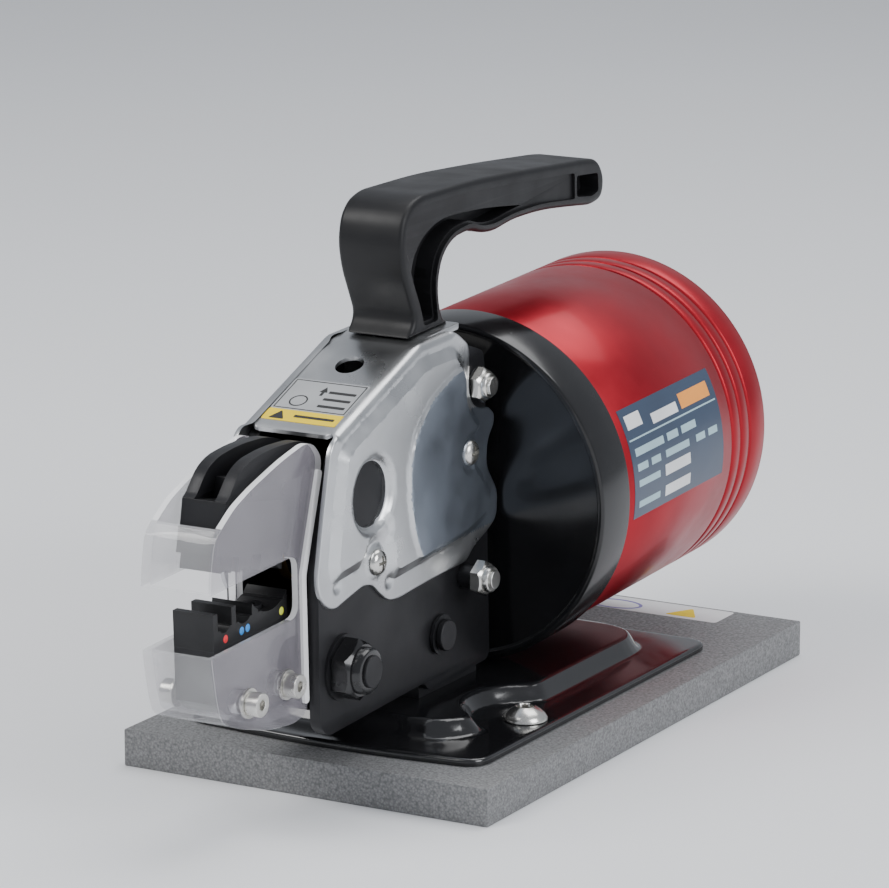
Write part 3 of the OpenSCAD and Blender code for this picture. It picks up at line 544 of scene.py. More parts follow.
def sheetBody(flat, faces, front, back, order):
    mesh = bmesh.new()
    tops = [mesh.verts.new(order(p[0], p[1], h)) for p, h in zip(flat, front)]
    backs = [mesh.verts.new(order(p[0], p[1], h)) for p, h in zip(flat, back)]
    seen = {}
    for f in faces:
        mesh.faces.new([tops[i] for i in f])
        mesh.faces.new([backs[i] for i in reversed(f)])
        seen.update({pair: True for pair in zip(f, f[1:] + f[:1])})
    for a, b in seen:
        if (b, a) not in seen:
            mesh.faces.new((tops[b], tops[a], backs[a], backs[b]))
    loose = [v for v in mesh.verts if not v.link_faces]
    bmesh.ops.delete(mesh, geom=loose, context="VERTS")
    return mesh


def rolled(inset, radius):
    near = np.clip(radius - inset, 0, radius)
    return radius - np.sqrt(np.maximum(radius * radius - near * near, 0))


def mirrored(mesh):
    bmesh.ops.transform(mesh, matrix=Matrix.Scale(-1, 4, (1, 0, 0)), verts=mesh.verts)
    return mesh


# CAD finishes
nodeLooks = {
    "slabPaint": ["bench_slab"],
    "steel": ["base_pads", "block_dowels", "jaw_pivot_pin", "piston_rod", "piston_nut",
              "retaining_ring",
              "blade_pins", "cam_blade", "roller_pin", "cam_roller", "handle_block",
              "return_spring"],
    "zinc": ["base_screws", "cap_studs", "stud_nuts", "cover_screws", "guard_screws",
             "guard_washers", "air_fitting"],
    "blackSteel": ["mount_block", "mount_screws", "side_plate_right", "side_plate_left",
                   "frame_bolt", "frame_nut",
                   "frame_washers", "rear_pin", "rear_pin_clips", "stud_spacers", "lower_jaw",
                   "lower_die_screw",
                   "handle_screws", "jaw_plate_right", "jaw_plate_left", "die_holder",
                   "holder_rivets", "upper_die_screw"],
    "dieBlack": ["lower_die", "upper_die"],
    "blackCap": ["front_cap", "rear_cap"],
    "blackSheet": ["base_plate"],
    "redTube": ["cylinder_tube"],
    "rubber": ["front_cap_seal", "rod_seal", "rear_cap_seal", "piston_seal"],
    "guideRing": ["wear_ring"],
    "bronze": ["rod_bush", "pivot_washers"],
    "aluminium": ["piston", "guard_spacers"],
    "silverSheet": ["top_cover", "side_cover_right", "side_cover_left"],
    "handleBlack": ["handle"],
    "clearFront": ["guard"],
    "bluePlastic": ["fitting_collet"],
}
nodes = {o["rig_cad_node"]: o for o in bpy.data.objects if "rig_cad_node" in o}
for lookName, names in nodeLooks.items():
    for name in names:
        nodes[name].data.materials.clear()
        nodes[name].data.materials.append(looks[lookName])
print("CAD nodes finished:", len(nodes))

# Machined pieces with their edges broken, by the width of the edge in millimetres
brokenEdges = {
    "lower_die": (0.3, "frame"), "upper_die": (0.3, "jaw"), "die_holder": (0.4, "jaw"),
    "lower_jaw": (0.4, "frame"),
    "mount_block": (0.4, "frame"), "rear_pin": (0.4, "frame"), "frame_bolt": (0.4, "frame"),
    "guard_screws": (0.25, "frame"),
    "guard_spacers": (0.2, "frame"), "stud_spacers": (0.2, "frame"), "rear_cap": (0.5, "frame"),
    "air_fitting": (0.3, "frame"),
    "handle_block": (0.3, "frame"), "mount_screws": (0.3, "frame"), "base_pads": (0.2, "frame"),
    "cap_studs": (0.3, "frame"),
}
for name, (width, body) in brokenEdges.items():
    mesh = bmesh.new()
    mesh.from_mesh(nodes[name].data)
    mesh.transform(nodes[name].matrix_world)
    bmesh.ops.remove_doubles(mesh, verts=mesh.verts, dist=2e-6)
    bmesh.ops.dissolve_limit(mesh, angle_limit=math.radians(0.6), verts=mesh.verts,
                             edges=mesh.edges)
    lookName = next(look for look, names in nodeLooks.items() if name in names)
    piece = placed(name + "Shown", mesh)
    piece.data.materials.append(looks[lookName])
    bevelled(piece, width, 2, 48)
    test = bmesh.new()
    test.from_mesh(piece.data)
    isOpen = any(not e.is_manifold for e in test.edges)
    test.free()
    if isOpen:
        print("left as it was:", name)
        bpy.data.objects.remove(piece)
        continue
    smoothed(piece, 50)
    even = piece.modifiers.new("even", "WEIGHTED_NORMAL")
    even.keep_sharp = True
    bake(piece)
    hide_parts(name)
    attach(piece, body)
print("edges broken")

# Slab
slabSize = {"width": 130.0, "length": 220.0, "height": 12.0, "edge": 0.5}
half, reach = slabSize["width"] / 2, slabSize["length"] / 2
mesh = prism([rect(-reach, 0, reach, slabSize["height"])], -half, half)
finish("slab", mesh, "slabPaint", ["bench_slab"], baseFrame, bevel=slabSize["edge"])

# Base plate
plate = {"half": 53.0, "front": -93.5, "rear": 65.0, "bow": 3.5, "corner": 8.0, "low": 13.0,
         "thick": 1.5,
         "rise": 5.5, "slope": 5.2, "edgeRoll": 1.1, "riseHalf": 40.5, "riseFront": -82.5,
         "riseRear": 54.0,
         "riseCorner": 22, "pocket": 16.0, "blend": 6.0, "screwX": 43.5, "screwY": -46.5}
half, low = plate["half"], plate["low"] + plate["thick"]
bow = [(half * 0.85 * t, plate["front"] - plate["bow"] * (1 - t * t),
        2) for t in [k / 6 - 1 for k in range(1, 12)]]
plateLoop = rounded([(-half, plate["rear"]), (-half, plate["front"] + 0.5), *bow,
                     (half, plate["front"] + 0.5), (half, plate["rear"])], plate["corner"])
riseLoop = rounded(rect(-plate["riseHalf"], plate["riseFront"], plate["riseHalf"],
                        plate["riseRear"]), plate["riseCorner"], 10)
flat, faces = skin(plateLoop, [], 1.0, [], [0.12, 0.45])
inRise = depth(flat, riseLoop)
for side in (-1, 1):
    away = distance(flat, (side * plate["screwX"], plate["screwY"])) - plate["pocket"]
    h = np.clip(0.5 + 0.5 * (away - inRise) / plate["blend"], 0, 1)
    inRise = away * (1 - h) + inRise * h - plate["blend"] * h * (1 - h)
edgeDrop = rolled(depth(flat, plateLoop), plate["edgeRoll"])
top = low + plate["rise"] * smooth(inRise, 0.2, plate["slope"]) - edgeDrop
mesh = sheetBody(flat, faces, top, top - plate["thick"] + edgeDrop * 0.4, upward)
finish("basePlate", mesh, "blackSheet", ["base_plate"], baseFrame, sharp=75)

# Button head screws with a hexagon socket, one on each side
baseScrew = {"radius": 7.0, "height": 4.4, "socket": 5.0, "socketDeep": 2.3, "shank": 4.0,
             "shankLong": 10.0}


def buttonHead(a):
    r, h, reach = baseScrew["radius"], baseScrew["height"], hexReach(baseScrew["socket"], a)
    shank, shankEnd = baseScrew["shank"], -baseScrew["shankLong"]
    floor = h - baseScrew["socketDeep"]
    return [(shankEnd, 0), (shankEnd, shank), (0.02, shank), (0.02, r - 0.2), (0.3, r),
            (1.1, r - 0.1), (2.2, r - 0.9), (3.3, r - 2.2), (4.0, r - 3.3), (h, r - 4.0),
            (h - 0.25, reach), (floor, reach), (floor - 0.8, 0)]


parts = [spun(buttonHead, (side * plate["screwX"], plate["screwY"], low), 60, "Z") for side in (1,
                                                                                                -1)]
finish("baseScrewsShown", joined(parts), "zinc", ["base_screws"], baseFrame, sharp=40)
print("base made")

# Cylinder
tube = {"from": 18.0, "to": 119.7, "radius": 54.7, "bore": 50.0, "grooves": (94.7, 101.2, 107.7),
        "grooveHalf": 1.15, "grooveDeep": 0.9, "ringSlot": (116.0, 117.7), "ringDeep": 1.3}
first, last, r, bore = tube["from"], tube["to"], tube["radius"], tube["bore"]
profile = [(first, bore), (first, r - 0.4), (first + 0.4, r)]
for y in tube["grooves"]:
    w, deep = tube["grooveHalf"], tube["grooveDeep"]
    profile += [(y - w, r), (y - w + 0.4, r - 0.25), (y - w + 0.75, r - deep),
                (y + w - 0.75, r - deep), (y + w - 0.4, r - 0.25), (y + w, r)]
profile += [(last - 1.2, r), (last - 0.35, r - 0.35), (last, r - 1.2), (last, bore + 0.5),
            (last - 0.5, bore)]
slotFront, slotRear = tube["ringSlot"]
slotFloor = bore + tube["ringDeep"]
profile += [(slotRear, bore), (slotRear, slotFloor), (slotFront, slotFloor), (slotFront, bore)]
finish("tube", lathe(profile, 192), "redTube", ["cylinder_tube"], sharp=50)

# Front cap: a dished face with a rim, a spigot in the tube, and two lugs for the studs
cap = {"radius": 56.0, "back": 18.0, "dish": 2.0, "bore": 10.0, "spigot": 49.8, "spigotEnd": 26.0}
r, dish = cap["radius"], cap["dish"]
profile = [(dish - 0.4, cap["bore"]), (dish, cap["bore"] + 0.4), (dish, r - 3.4),
           (dish - 0.3, r - 3.0), (0.3, r - 2.6), (0.0, r - 2.2), (0.0, r - 0.9), (0.25, r - 0.25),
           (0.9, r), (cap["back"] - 0.5, r), (cap["back"], r - 0.5), (cap["back"], cap["spigot"]),
           (cap["spigotEnd"], cap["spigot"]), (cap["spigotEnd"], cap["bore"])]
piece = finish("frontCap", lathe(profile, 192), "blackCap", ["front_cap"], sharp=50)
lugs = {"half": 12.1, "halfHigh": 6.5, "rear": 4.0, "corner": 4.5,
        "frontAndHeight": [(-27.5, -20.2), (-17.5, 39.6)]}
for front, z in lugs["frontAndHeight"]:
    outline = rounded(rect(front, z - lugs["halfHigh"], lugs["rear"], z + lugs["halfHigh"]),
                      lugs["corner"])
    carve(piece, prism([outline], -lugs["half"], lugs["half"]), "UNION")
smoothed(piece, 40)
print("cylinder made")


# Labels
def wrapped(y0, y1, a0, a1, r0, r1, steps=40):
    mesh = bmesh.new()
    sides = []
    for r in (r0, r1):
        rows = []
        for k in range(steps + 1):
            a = math.radians(a0 + (a1 - a0) * k / steps)
            rows.append([mesh.verts.new((r * math.cos(a), y, r * math.sin(a))) for y in (y0, y1)])
        sides.append(rows)
    for k in range(steps):
        for rows in sides:
            mesh.faces.new((rows[k][0], rows[k][1], rows[k + 1][1], rows[k + 1][0]))
        for e in (0, 1):
            mesh.faces.new((sides[0][k][e], sides[0][k + 1][e], sides[1][k + 1][e], sides[1][k][e]))
    for k in (0, steps):
        mesh.faces.new((sides[0][k][0], sides[0][k][1], sides[1][k][1], sides[1][k][0]))
    return mesh


# The rating label wraps the tube: low and high are angles, paper and ink are radii, and the marks
# are shares of its length and height
rating = {"front": 23.6, "rear": 87.3, "low": -9.1, "high": 28.7, "paper": (54.55, 54.82),
          "ink": (54.8, 54.87)}
front, low = rating["front"], rating["low"]
along, around = rating["rear"] - front, rating["high"] - low
mesh = wrapped(front, rating["rear"], low, rating["high"], *rating["paper"])
finish("ratingLabel", mesh, "slateLabel")
marks = [
    ("cyanInk", [(0.02, 0.98, 0.70, 0.715)]),
    ("orangeInk", [(0.62, 0.94, 0.76, 0.90)]),
    ("whiteInk", [(0.04, 0.20, 0.80, 0.93), (0.30, 0.58, 0.755, 0.85), (0.34, 0.62, 0.07, 0.17),
                  (0.34, 0.62, 0.26, 0.36)]),
    ("cyanInk", [(0.05, 0.36, 0.555, 0.625), (0.40, 0.52, 0.555, 0.625), (0.56, 0.72, 0.555, 0.625),
                 (0.05, 0.16, 0.42, 0.485), (0.20, 0.30, 0.42, 0.485), (0.36, 0.62, 0.42, 0.485),
                 (0.70, 0.80, 0.42, 0.485), (0.84, 0.94, 0.42, 0.485), (0.05, 0.28, 0.28, 0.34),
                 (0.05, 0.28, 0.09, 0.15)]),
]
for index, (ink, boxes) in enumerate(marks):
    parts = [wrapped(front + u0 * along, front + u1 * along, low + v0 * around, low + v1 * around,
                     *rating["ink"], 10)
             for u0, u1, v0, v1 in boxes]
    finish(f"ratingMarks{index}", joined(parts), ink)

# Label on the slab's rear end: paper and ink are heights above the slab
slabLabel = {"half": 41.0, "front": 93.0, "rear": 108.2, "corner": 1.5, "sunk": 0.05, "paper": 0.08,
             "ink": 0.12,
             "ovalAt": (0, 99), "oval": (10, 5.6), "ovalLine": (8.8, 4.5)}
top = slabSize["height"]
paper = rounded(rect(-slabLabel["half"], slabLabel["front"], slabLabel["half"], slabLabel["rear"]),
                slabLabel["corner"])
mesh = prism([paper], top - slabLabel["sunk"], top + slabLabel["paper"], upward)
finish("slabLabel", mesh, "whiteInk", [], baseFrame)
ringLoops = [oval(slabLabel["ovalAt"], *slabLabel["oval"]),
             oval(slabLabel["ovalAt"], *slabLabel["ovalLine"])[::-1]]
triangle = rounded([(20.5, 95.2), (32.5, 95.2), (26.5, 105.6)], 1.6)
for name, loops, ink in (("slabOval", ringLoops, "violetInk"),
                         ("slabTriangle", [triangle], "yellowInk")):
    finish(name, prism(loops, top, top + slabLabel["ink"], upward), ink, [], baseFrame)
print("labels made")

# Head plates
sidePlate = {"inner": 12.3, "outer": 16.1, "bevel": 0.45}
outline = [(-109, -44.5, 2), (-105, -48.5, 3), (-46, -48.5, 4), (-43, -52, 2), (-6, -52, 1.5),
           (-4, -50, 1.5), (-4, 43, 2), (-5, 49.5, 2), (-14, 53, 2), (-19.5, 54, 2), (-27, 57.6, 2),
           (-45, 57.6, 3), (-93, 41, 3), (-97.5, 35, 3), (-108.5, 3, 4)]
for side, name in ((1, "side_plate_right"), (-1, "side_plate_left")):
    mesh = prism([rounded(outline, 2)], sidePlate["inner"], sidePlate["outer"])
    finish(name + "Shown", mesh if side > 0 else mirrored(mesh), "blackSteel", [name],
           bevel=sidePlate["bevel"])

# Lock nuts: a chamfered hexagon with a round collar. Each is at (x, y, z, height); the other sizes
# are shares of the height (hex) or of the width across flats
nutShape = {"hex": 0.7, "lip": 0.47, "collar": (0.43, 0.42, 0.4, 0.37)}
lockNuts = {
    "stud_nuts": {"flats": 10, "bore": 3.05, "look": "zinc", "sides": (1, -1),
                  "at": [(21.1, -20.5, -20.2, 6.0), (16.6, -10.0, 39.6, 5.0)]},
    "frame_nut": {"flats": 17, "bore": 5.05, "look": "blackCap", "sides": (1,),
                  "at": [(17.1, -96.0, -29.0, 9.5)]},
}


def nutProfile(flats, bore, tall):
    hexTop, lip = tall * nutShape["hex"], flats * nutShape["lip"]
    collar = [flats * share for share in nutShape["collar"]]

    def atAngle(a):
        reach = hexReach(flats, a)
        shoulder = hexTop - 0.2 - (reach - lip) * 0.75
        return [(0, bore), (0, lip), (0.45, reach), (shoulder, reach), (hexTop, lip),
                (hexTop, collar[0]), (tall - 0.7, collar[1]), (tall - 0.2, collar[2]),
                (tall, collar[3]), (tall, bore)]

    return atAngle


for node, nut in lockNuts.items():
    parts = []
    for side in nut["sides"]:
        for x, y, z, tall in nut["at"]:
            part = spun(nutProfile(nut["flats"], nut["bore"], tall), (x, y, z), 96)
            parts.append(part if side > 0 else mirrored(part))
    finish(node + "Shown", joined(parts), nut["look"], [node], sharp=32)

# Side covers
cover = {"rim": 16.15, "thick": 1.2, "pan": 2.0, "panRows": (-0.2, 1.6, 3.4), "roll": 2.5,
         "holeAt": (-79.7, 21.3), "holeRadius": 10.3, "holeSink": 2.1, "drum": 0.8,
         "drumFall": 0.016,
         "arcRows": (-0.4, 0.2, 0.8), "pressed": 0.9, "dents": [(-99.5, -3.0), (-68.5, -9.4)],
         "ditches": [((-18.4, 19.6), (-4, 17.0), 6.6), ((-77, -0.7), (-73.2, 8.5), 4.6)],
         "dimple": 5.2, "dimpleSeat": 0.55}
coverScrews = {"at": [(-77.0, -0.7), (-18.4, 19.6)], "radius": 4.2, "height": 2.4, "seat": 0.6,
               "shank": 1.5,
               "shankEnd": -7.5, "arm": 2.2, "halfArm": 0.5, "crossFrom": 19.0, "crossTo": 22.0}
coverLoop = rounded([
    (-99.2, 42, 2), (-101.4, 39.5, 3), (-106.6, 20.1, 8), (-110.6, 2.6, 7), (-109.8, -2.5, 4),
    (-106, -7.6, 4), (-101, -9.6, 4), (-96, -8.6, 2), (-84, -6.6, 2), (-78.5, -7.8, 2),
    (-73, -12.6, 3), (-68.7, -15.5, 3), (-63.1, -16.2, 3), (-43.4, -15.6, 3), (-20, -15.6, 2),
    (-15.7, -12.3, 2), (-5.1, -8.6, 2), (0, -5.9, 3), (0.8, 2.6, 3), (-6.2, 12.5, 3),
    (-5.2, 20.5, 3), (-0.8, 25, 1.5), (-0.6, 28.2, 1.5), (-4, 31, 1.5), (-9.5, 31.8, 2),
    (-14.6, 34.4, 3), (-16.8, 39.5, 2), (-16.2, 46, 2), (-15.8, 53.7, 3), (-22.8, 58.7, 3),
    (-26.5, 60.4, 2), (-46, 60.4, 4), (-95.6, 43.6, 2)][::-1], 2)
topEdge = [(-95.6, 43.6), (-46, 60.4), (-26.5, 60.4)]
panLoop = rounded([
    (-97.0, 38.0, 3), (-100.8, 22, 6), (-104.5, 4, 4), (-102.5, -1.2, 2), (-86, -0.2, 2),
    (-84.5, 1.5, 3), (-80, 6, 3), (-74.5, 6, 3), (-71, 2, 3), (-70, -6.2, 3), (-66, -9.2, 3),
    (-22, -7.6, 4), (-7, -4.5, 3), (-4, 2, 3), (-9.5, 11, 4), (-12, 13, 3), (-14.5, 24, 3),
    (-9, 26.5, 3), (-13.5, 30.5, 3), (-18.6, 36, 3), (-18.6, 47, 5), (-26, 55.6, 4), (-46, 56.2, 4),
    (-92.0, 41.0, 3)], 3)
arcLoop = rounded([
    (-2, 62, 1), (-19.6, 48.9, 4), (-31.9, 47.4, 4), (-44, 42.9, 4), (-53.8, 35.5, 4),
    (-58.9, 25.8, 4), (-59.3, 14.4, 4), (-56.3, 1.4, 4), (-51.9, -7.2, 4), (-46, -16, 1),
    (8, -20, 1)], 4)


def coverHeight(p):
    rise = ramped(depth(p, panLoop), cover["panRows"])
    rim = cover["rim"] + cover["thick"]
    out = rim + cover["pan"] * rise
    drum = ramped(depth(p, arcLoop), cover["arcRows"]) * rise
    out += drum * (cover["drum"] - cover["drumFall"] * np.clip(p[:, 0] + 60, 0, 60))
    out -= cover["holeSink"] * (1 - smooth(distance(p, cover["holeAt"]) - cover["holeRadius"], 0.0,
                                           2.6))
    for a, b, radius in cover["ditches"]:
        out -= cover["pressed"] * rise * smooth(capsule(p, a, b, radius), 0, 0.9)
    for at in coverScrews["at"]:
        share = 1 - smooth(distance(p, at), 4.6, cover["dimple"] + 0.4)
        out = out * (1 - share) + (rim + cover["dimpleSeat"]) * share
    for at in cover["dents"]:
        out -= cover["pressed"] * (1 - smooth(distance(p, at), 0.6, 2.4))
    fromTop = np.minimum.reduce([-capsule(p, a, b, 0) for a, b in zip(topEdge, topEdge[1:])])
    return out - rolled(fromTop, cover["roll"]) - rolled(depth(p, coverLoop), 0.3)


flat, faces = skin(coverLoop, [circle(cover["holeAt"], cover["holeRadius"], 40)], 1.1,
                   [(arcLoop, cover["arcRows"]), (panLoop, cover["panRows"])],
                   [0.15, 0.6, 1.2, 2.0])
height = coverHeight(flat)
# The area inside the arc has a darker bluish reflection painted into its colour, and the pan and
# the arc have crisp creases
shade = {"inset": 0.78, "low": -7, "onPan": 1.5, "tailFront": -22, "tailHigh": 33}
toolBack = toolFrame.inverted()
for side, name in ((1, "side_cover_right"), (-1, "side_cover_left")):
    mesh = sheetBody(flat, faces, height, height - cover["thick"], sideways)
    piece = finish(name + "Shown", mesh if side > 0 else mirrored(mesh), "silverSheet", [name],
                   sharp=55)
    piece.data.materials.append(looks["silverShade"])
    middles = np.array([toolBack @ face.center for face in piece.data.polygons])[:, 1:]
    onPan = depth(middles, panLoop) > shade["onPan"]
    onTail = (middles[:, 0] > shade["tailFront"]) & (middles[:, 1] < shade["tailHigh"])
    inArc = (depth(middles, arcLoop) > shade["inset"]) & (middles[:, 1] > shade["low"])
    for face, isShaded in zip(piece.data.polygons, inArc & (onPan | onTail)):
        face.material_index = int(isShaded)
    spots = np.array([toolBack @ v.co for v in piece.data.vertices])[:, 1:]
    inPan, fromArc = depth(spots, panLoop), np.abs(depth(spots, arcLoop) - cover["arcRows"][-1])
    rows = [np.abs(inPan - edge) < 0.12 for edge in (cover["panRows"][0], cover["panRows"][-1])]
    rows.append((fromArc < 0.1) & (inPan > 3))
    for crease in piece.data.edges:
        a, b = crease.vertices
        if any(row[a] and row[b] for row in rows):
            crease.use_edge_sharp = True

# Pan head screws of the covers, with a cross cut in each head
r, h, shank, shankEnd = (coverScrews[key] for key in ("radius", "height", "shank", "shankEnd"))
profile = [(shankEnd, 0), (shankEnd, shank), (0.05, shank), (0.05, r - 0.15), (0.25, r),
           (h * 0.4, r - 0.12), (h * 0.75, r - 0.8), (h * 0.94, r - 2.0), (h, r - 3.2), (h, 0)]
parts = []
for side in (1, -1):
    for y, z in coverScrews["at"]:
        head = spun(profile, (cover["rim"] + cover["thick"] + coverScrews["seat"], y, z))
        parts.append(head if side > 0 else mirrored(head))
piece = finish("coverScrewsShown", joined(parts), "zinc", ["cover_screws"], sharp=40)
arm, thin = coverScrews["arm"], coverScrews["halfArm"]
cross = [(arm, -thin), (arm, thin), (thin, thin), (thin, arm), (-thin, arm), (-thin, thin),
         (-arm, thin), (-arm, -thin), (-thin, -thin), (-thin, -arm), (thin, -arm), (thin, -thin)]
for side in (1, -1):
    for y, z in coverScrews["at"]:
        outline = [(y + p[0], z + p[1]) for p in cross]
        mesh = prism([outline], coverScrews["crossFrom"], coverScrews["crossTo"])
        carve(piece, mesh if side > 0 else mirrored(mesh))
smoothed(piece, 40)

# Top cover
topCover = {"half": 14.7, "thick": 1.2, "bend": 0.5, "front": -95.2, "rear": -17, "holeAt": -60.2,
            "holeRadius": 4.5,
            "crest": [(-94.8, 43.3), (-46, 60.4), (-17, 60.8)], "bendDrop": 0.9, "bendWide": 5.5,
            "noseDrop": 0.6}


def crestHeight(y):
    raw = np.interp(y, *zip(*topCover["crest"]))
    bend = np.exp(-(((y - topCover["crest"][1][0]) / topCover["bendWide"]) ** 2))
    return raw - topCover["bendDrop"] * bend - topCover["noseDrop"] * smooth(-y, 94.2, 95.6)


half, front, rear = topCover["half"], topCover["front"], topCover["rear"]
topLoop = rounded([(-half, front, 3.5), (half, front, 3.5), (half, rear, 1.5), (-half, rear, 1.5)],
                  2)
hole = circle((0, topCover["holeAt"]), topCover["holeRadius"], 28)
flat, faces = skin(topLoop, [hole], 1.5, [], [0.15, 0.5, 1.0, 1.6])
height = crestHeight(flat[:, 1]) - rolled(half - np.abs(flat[:, 0]), topCover["bend"])
mesh = sheetBody(flat, faces, height, height - topCover["thick"], upward)
finish("topCover", mesh, "silverSheet", ["top_cover"], sharp=55)

# Sticker on the top cover's slope: plain shapes only
(frontY, frontZ), (bendY, bendZ) = topCover["crest"][:2]
slopeTurn = Matrix.Rotation(math.atan2(bendZ - frontZ, bendY - frontY), 4, "X")
stickerFrame = toolFrame @ Matrix.Translation((0, frontY, frontZ)) @ slopeTurn
sticker = {"half": 13.2, "strip": (3.6, 9.6), "panel": (9.6, 26.5), "under": -0.05, "paper": 0.1,
           "stripTop": 0.11,
           "inkFrom": 0.05, "frameTop": 0.13, "inkTop": 0.14}
half, (panelFrom, panelTo) = sticker["half"], sticker["panel"]
frameLoops = [rect(-half + 0.7, panelFrom + 0.6, half - 0.7, panelTo - 0.6),
              rect(-half + 1.1, panelFrom + 1.0, half - 1.1, panelTo - 1.0)[::-1]]
arrow = [(-1.8, 20.6), (-0.4, 23.4), (1.0, 20.6), (0.1, 20.6), (0.1, 18.6), (-0.9, 18.6),
         (-0.9, 20.6)]
bars = [(-3, 11, 6.0), (1.5, 11, 20.2), (1.5, 11, 16.4), (1.5, 11, 12.6)]


def flatPart(name, loops, lookName, low, high):
    finish(name, prism(loops, low, high, upward), lookName, [], stickerFrame)


panel = rounded(rect(-half, panelFrom, half, panelTo), 1)
strip = rounded(rect(-half, sticker["strip"][0], half, sticker["strip"][1]), 0.8)
flatPart("stickerPanel", [panel], "silverLabel", sticker["under"], sticker["paper"])
flatPart("stickerStrip", [strip], "yellowInk", sticker["under"], sticker["stripTop"])
flatPart("stickerFrame", frameLoops, "blackInk", sticker["inkFrom"], sticker["frameTop"])
inked = {"stickerTriangle": [rounded([(-11, 4.4), (-5.6, 4.4), (-8.3, 8.9)], 0.6)]}
inked |= {f"stickerBar{k}": [rounded(rect(x0, y, x1, y + 1.3), 0.3)] for k,
          (x0, x1, y) in enumerate(bars)}
inked |= {"stickerRing": [circle((-6, 14.8), 3.0), circle((-6, 14.8), 2.5)[::-1]],
          "stickerArrow": [arrow]}
for name, loops in inked.items():
    flatPart(name, loops, "blackInk", sticker["inkFrom"], sticker["inkTop"])
print("head made")

# Handle
handle = {"half": 11.5, "roll": 1.6, "taper": 0.8, "shelf": 1.5, "recess": 7.5, "edge": 0.35}
handleLoop = rounded([
    (-43.3, 60.8, 1.0), (-38.4, 65.5, 4), (-41.7, 73, 6), (-45.8, 82, 8), (-47.2, 91, 6),
    (-45.0, 98.6, 5), (-40.6, 102.5, 5), (-33.8, 104.2, 4), (0, 102.9, 12), (38, 99.3, 12),
    (76, 95.2, 4), (84.9, 93.6, 5), (89.2, 87, 5), (87.4, 80.0, 4), (79.8, 79.1, 4),
    (63.7, 81.6, 10), (44, 84.3, 10), (25, 85.0, 6), (13, 83.7, 6), (5, 84.6, 5), (-2.6, 87.3, 5),
    (-14, 86.6, 6), (-21.2, 82.0, 6), (-24.0, 74, 5), (-23.2, 67.2, 3), (-21.2, 62.5, 2),
    (-17.6, 60.8, 1.0)][::-1], 3)
shelfLoop = rounded([
    (-33.8, 63.0, 1.5), (-35.6, 69, 4), (-40.2, 78.3, 4), (-42.7, 85.7, 4), (-44.4, 93, 4),
    (-42.0, 98.4, 4), (-34, 101.2, 4), (-6.1, 99.7, 6), (27, 96.6, 6), (67.2, 92.2, 1),
    (67.2, 83.6, 1), (64, 84.0, 6), (44, 86.6, 6), (25, 87.3, 6), (12, 86.3, 5), (4, 87.2, 4),
    (-2.6, 89.6, 5), (-15.2, 88.8, 6), (-23.6, 83.4, 6), (-26.5, 75.2, 5), (-25.6, 67.2, 3),
    (-25.0, 63.0, 1.5)], 3)
deepLoop = rounded([
    (-32.6, 63.8, 1.5), (-34.2, 67.8, 3), (-38.2, 74.3, 3), (-39.2, 79, 2), (-37.7, 84.4, 4),
    (-33.0, 89.4, 4), (-26.1, 92.6, 4), (-17.9, 94.0, 4), (-8.7, 93.6, 4), (6.6, 92.2, 4),
    (18, 90.6, 4), (32, 88.4, 1), (25, 88.1, 3), (12, 87.1, 5), (4, 88.0, 4), (-2.6, 90.4, 5),
    (-15.5, 89.6, 6), (-24.3, 84.0, 6), (-27.3, 75.2, 5), (-26.4, 67.2, 3), (-25.8, 63.8, 1.5)], 3)
windowLoop = rounded([(68.6, 91.0), (83.9, 89.2), (84.2, 83.0), (79.4, 82.2), (68.6, 84.0)], 1.2)

flat, faces = skin(handleLoop, [], 1.4, [], [0.12, 0.45, 1.0, 1.8, 2.7])
height = handle["half"] - handle["taper"] * smooth(flat[:, 0], 30, 95)
height -= rolled(depth(flat, handleLoop), handle["roll"])
mesh = sheetBody(flat, faces, height, -height, sideways)
piece = finish("handleShown", mesh, "handleBlack", ["handle"], sharp=70)
for side in (1, -1):
    for loop, sunk in ((shelfLoop, "shelf"), (deepLoop, "recess"), (windowLoop, "recess")):
        mesh = prism([loop], handle["half"] - handle[sunk], handle["half"] + 3)
        carve(piece, mesh if side > 0 else mirrored(mesh))
bevelled(piece, handle["edge"], 2, 50)
smoothed(piece, 42)
print("handle made")

# Upper jaw: two plates, drawn open. Along the jaw, places count from ref
ref = -80.0
jaw = {"pivot": (-77.0, -0.7), "pivotHole": 5.05, "roller": (-40.0, 12.0), "rollerHole": 3.05,
       "opened": -12.5,
       "seat": ((ref - 71, 18.2), (ref - 28, 18.2)), "inner": 3.5, "outer": 7.5, "edge": 0.7}
pivotY, pivotZ = jaw["pivot"]
rollerY, rollerZ = jaw["roller"]


def turned(point):
    a = math.radians(jaw["opened"])
    y, z = point[0] - pivotY, point[1] - pivotZ
    return (pivotY + y * math.cos(a) - z * math.sin(a), pivotZ + y * math.sin(a) + z * math.cos(a))


(y, z), seatRear = (turned(point) for point in jaw["seat"])
outline = rounded([
    (y, z, 0.6), (y + 1.7, z + 0.8, 1), (y + 7.8, z + 7, 4), (y + 14, z + 9.4, 4),
    (y + 26, z + 10.2, 6), (ref - 24, 42.8, 4), (ref - 14, 39.5, 4), (ref - 4, 32, 4),
    (ref + 14, 25, 4), (ref + 34, 21, 4), (rollerY + 3, rollerZ + 5.4, 3),
    (rollerY + 6, rollerZ + 1, 3), (rollerY + 4.4, rollerZ - 4.4, 3),
    (rollerY - 3, rollerZ - 5.4, 3), (pivotY + 8, pivotZ - 7, 4), (pivotY + 1, pivotZ - 10, 4),
    (pivotY - 8, pivotZ - 6.5, 4), (ref - 17, 17, 3), (*seatRear, 0.6)], 1)
holes = [circle(jaw["pivot"], jaw["pivotHole"])[::-1],
         circle(jaw["roller"], jaw["rollerHole"])[::-1]]
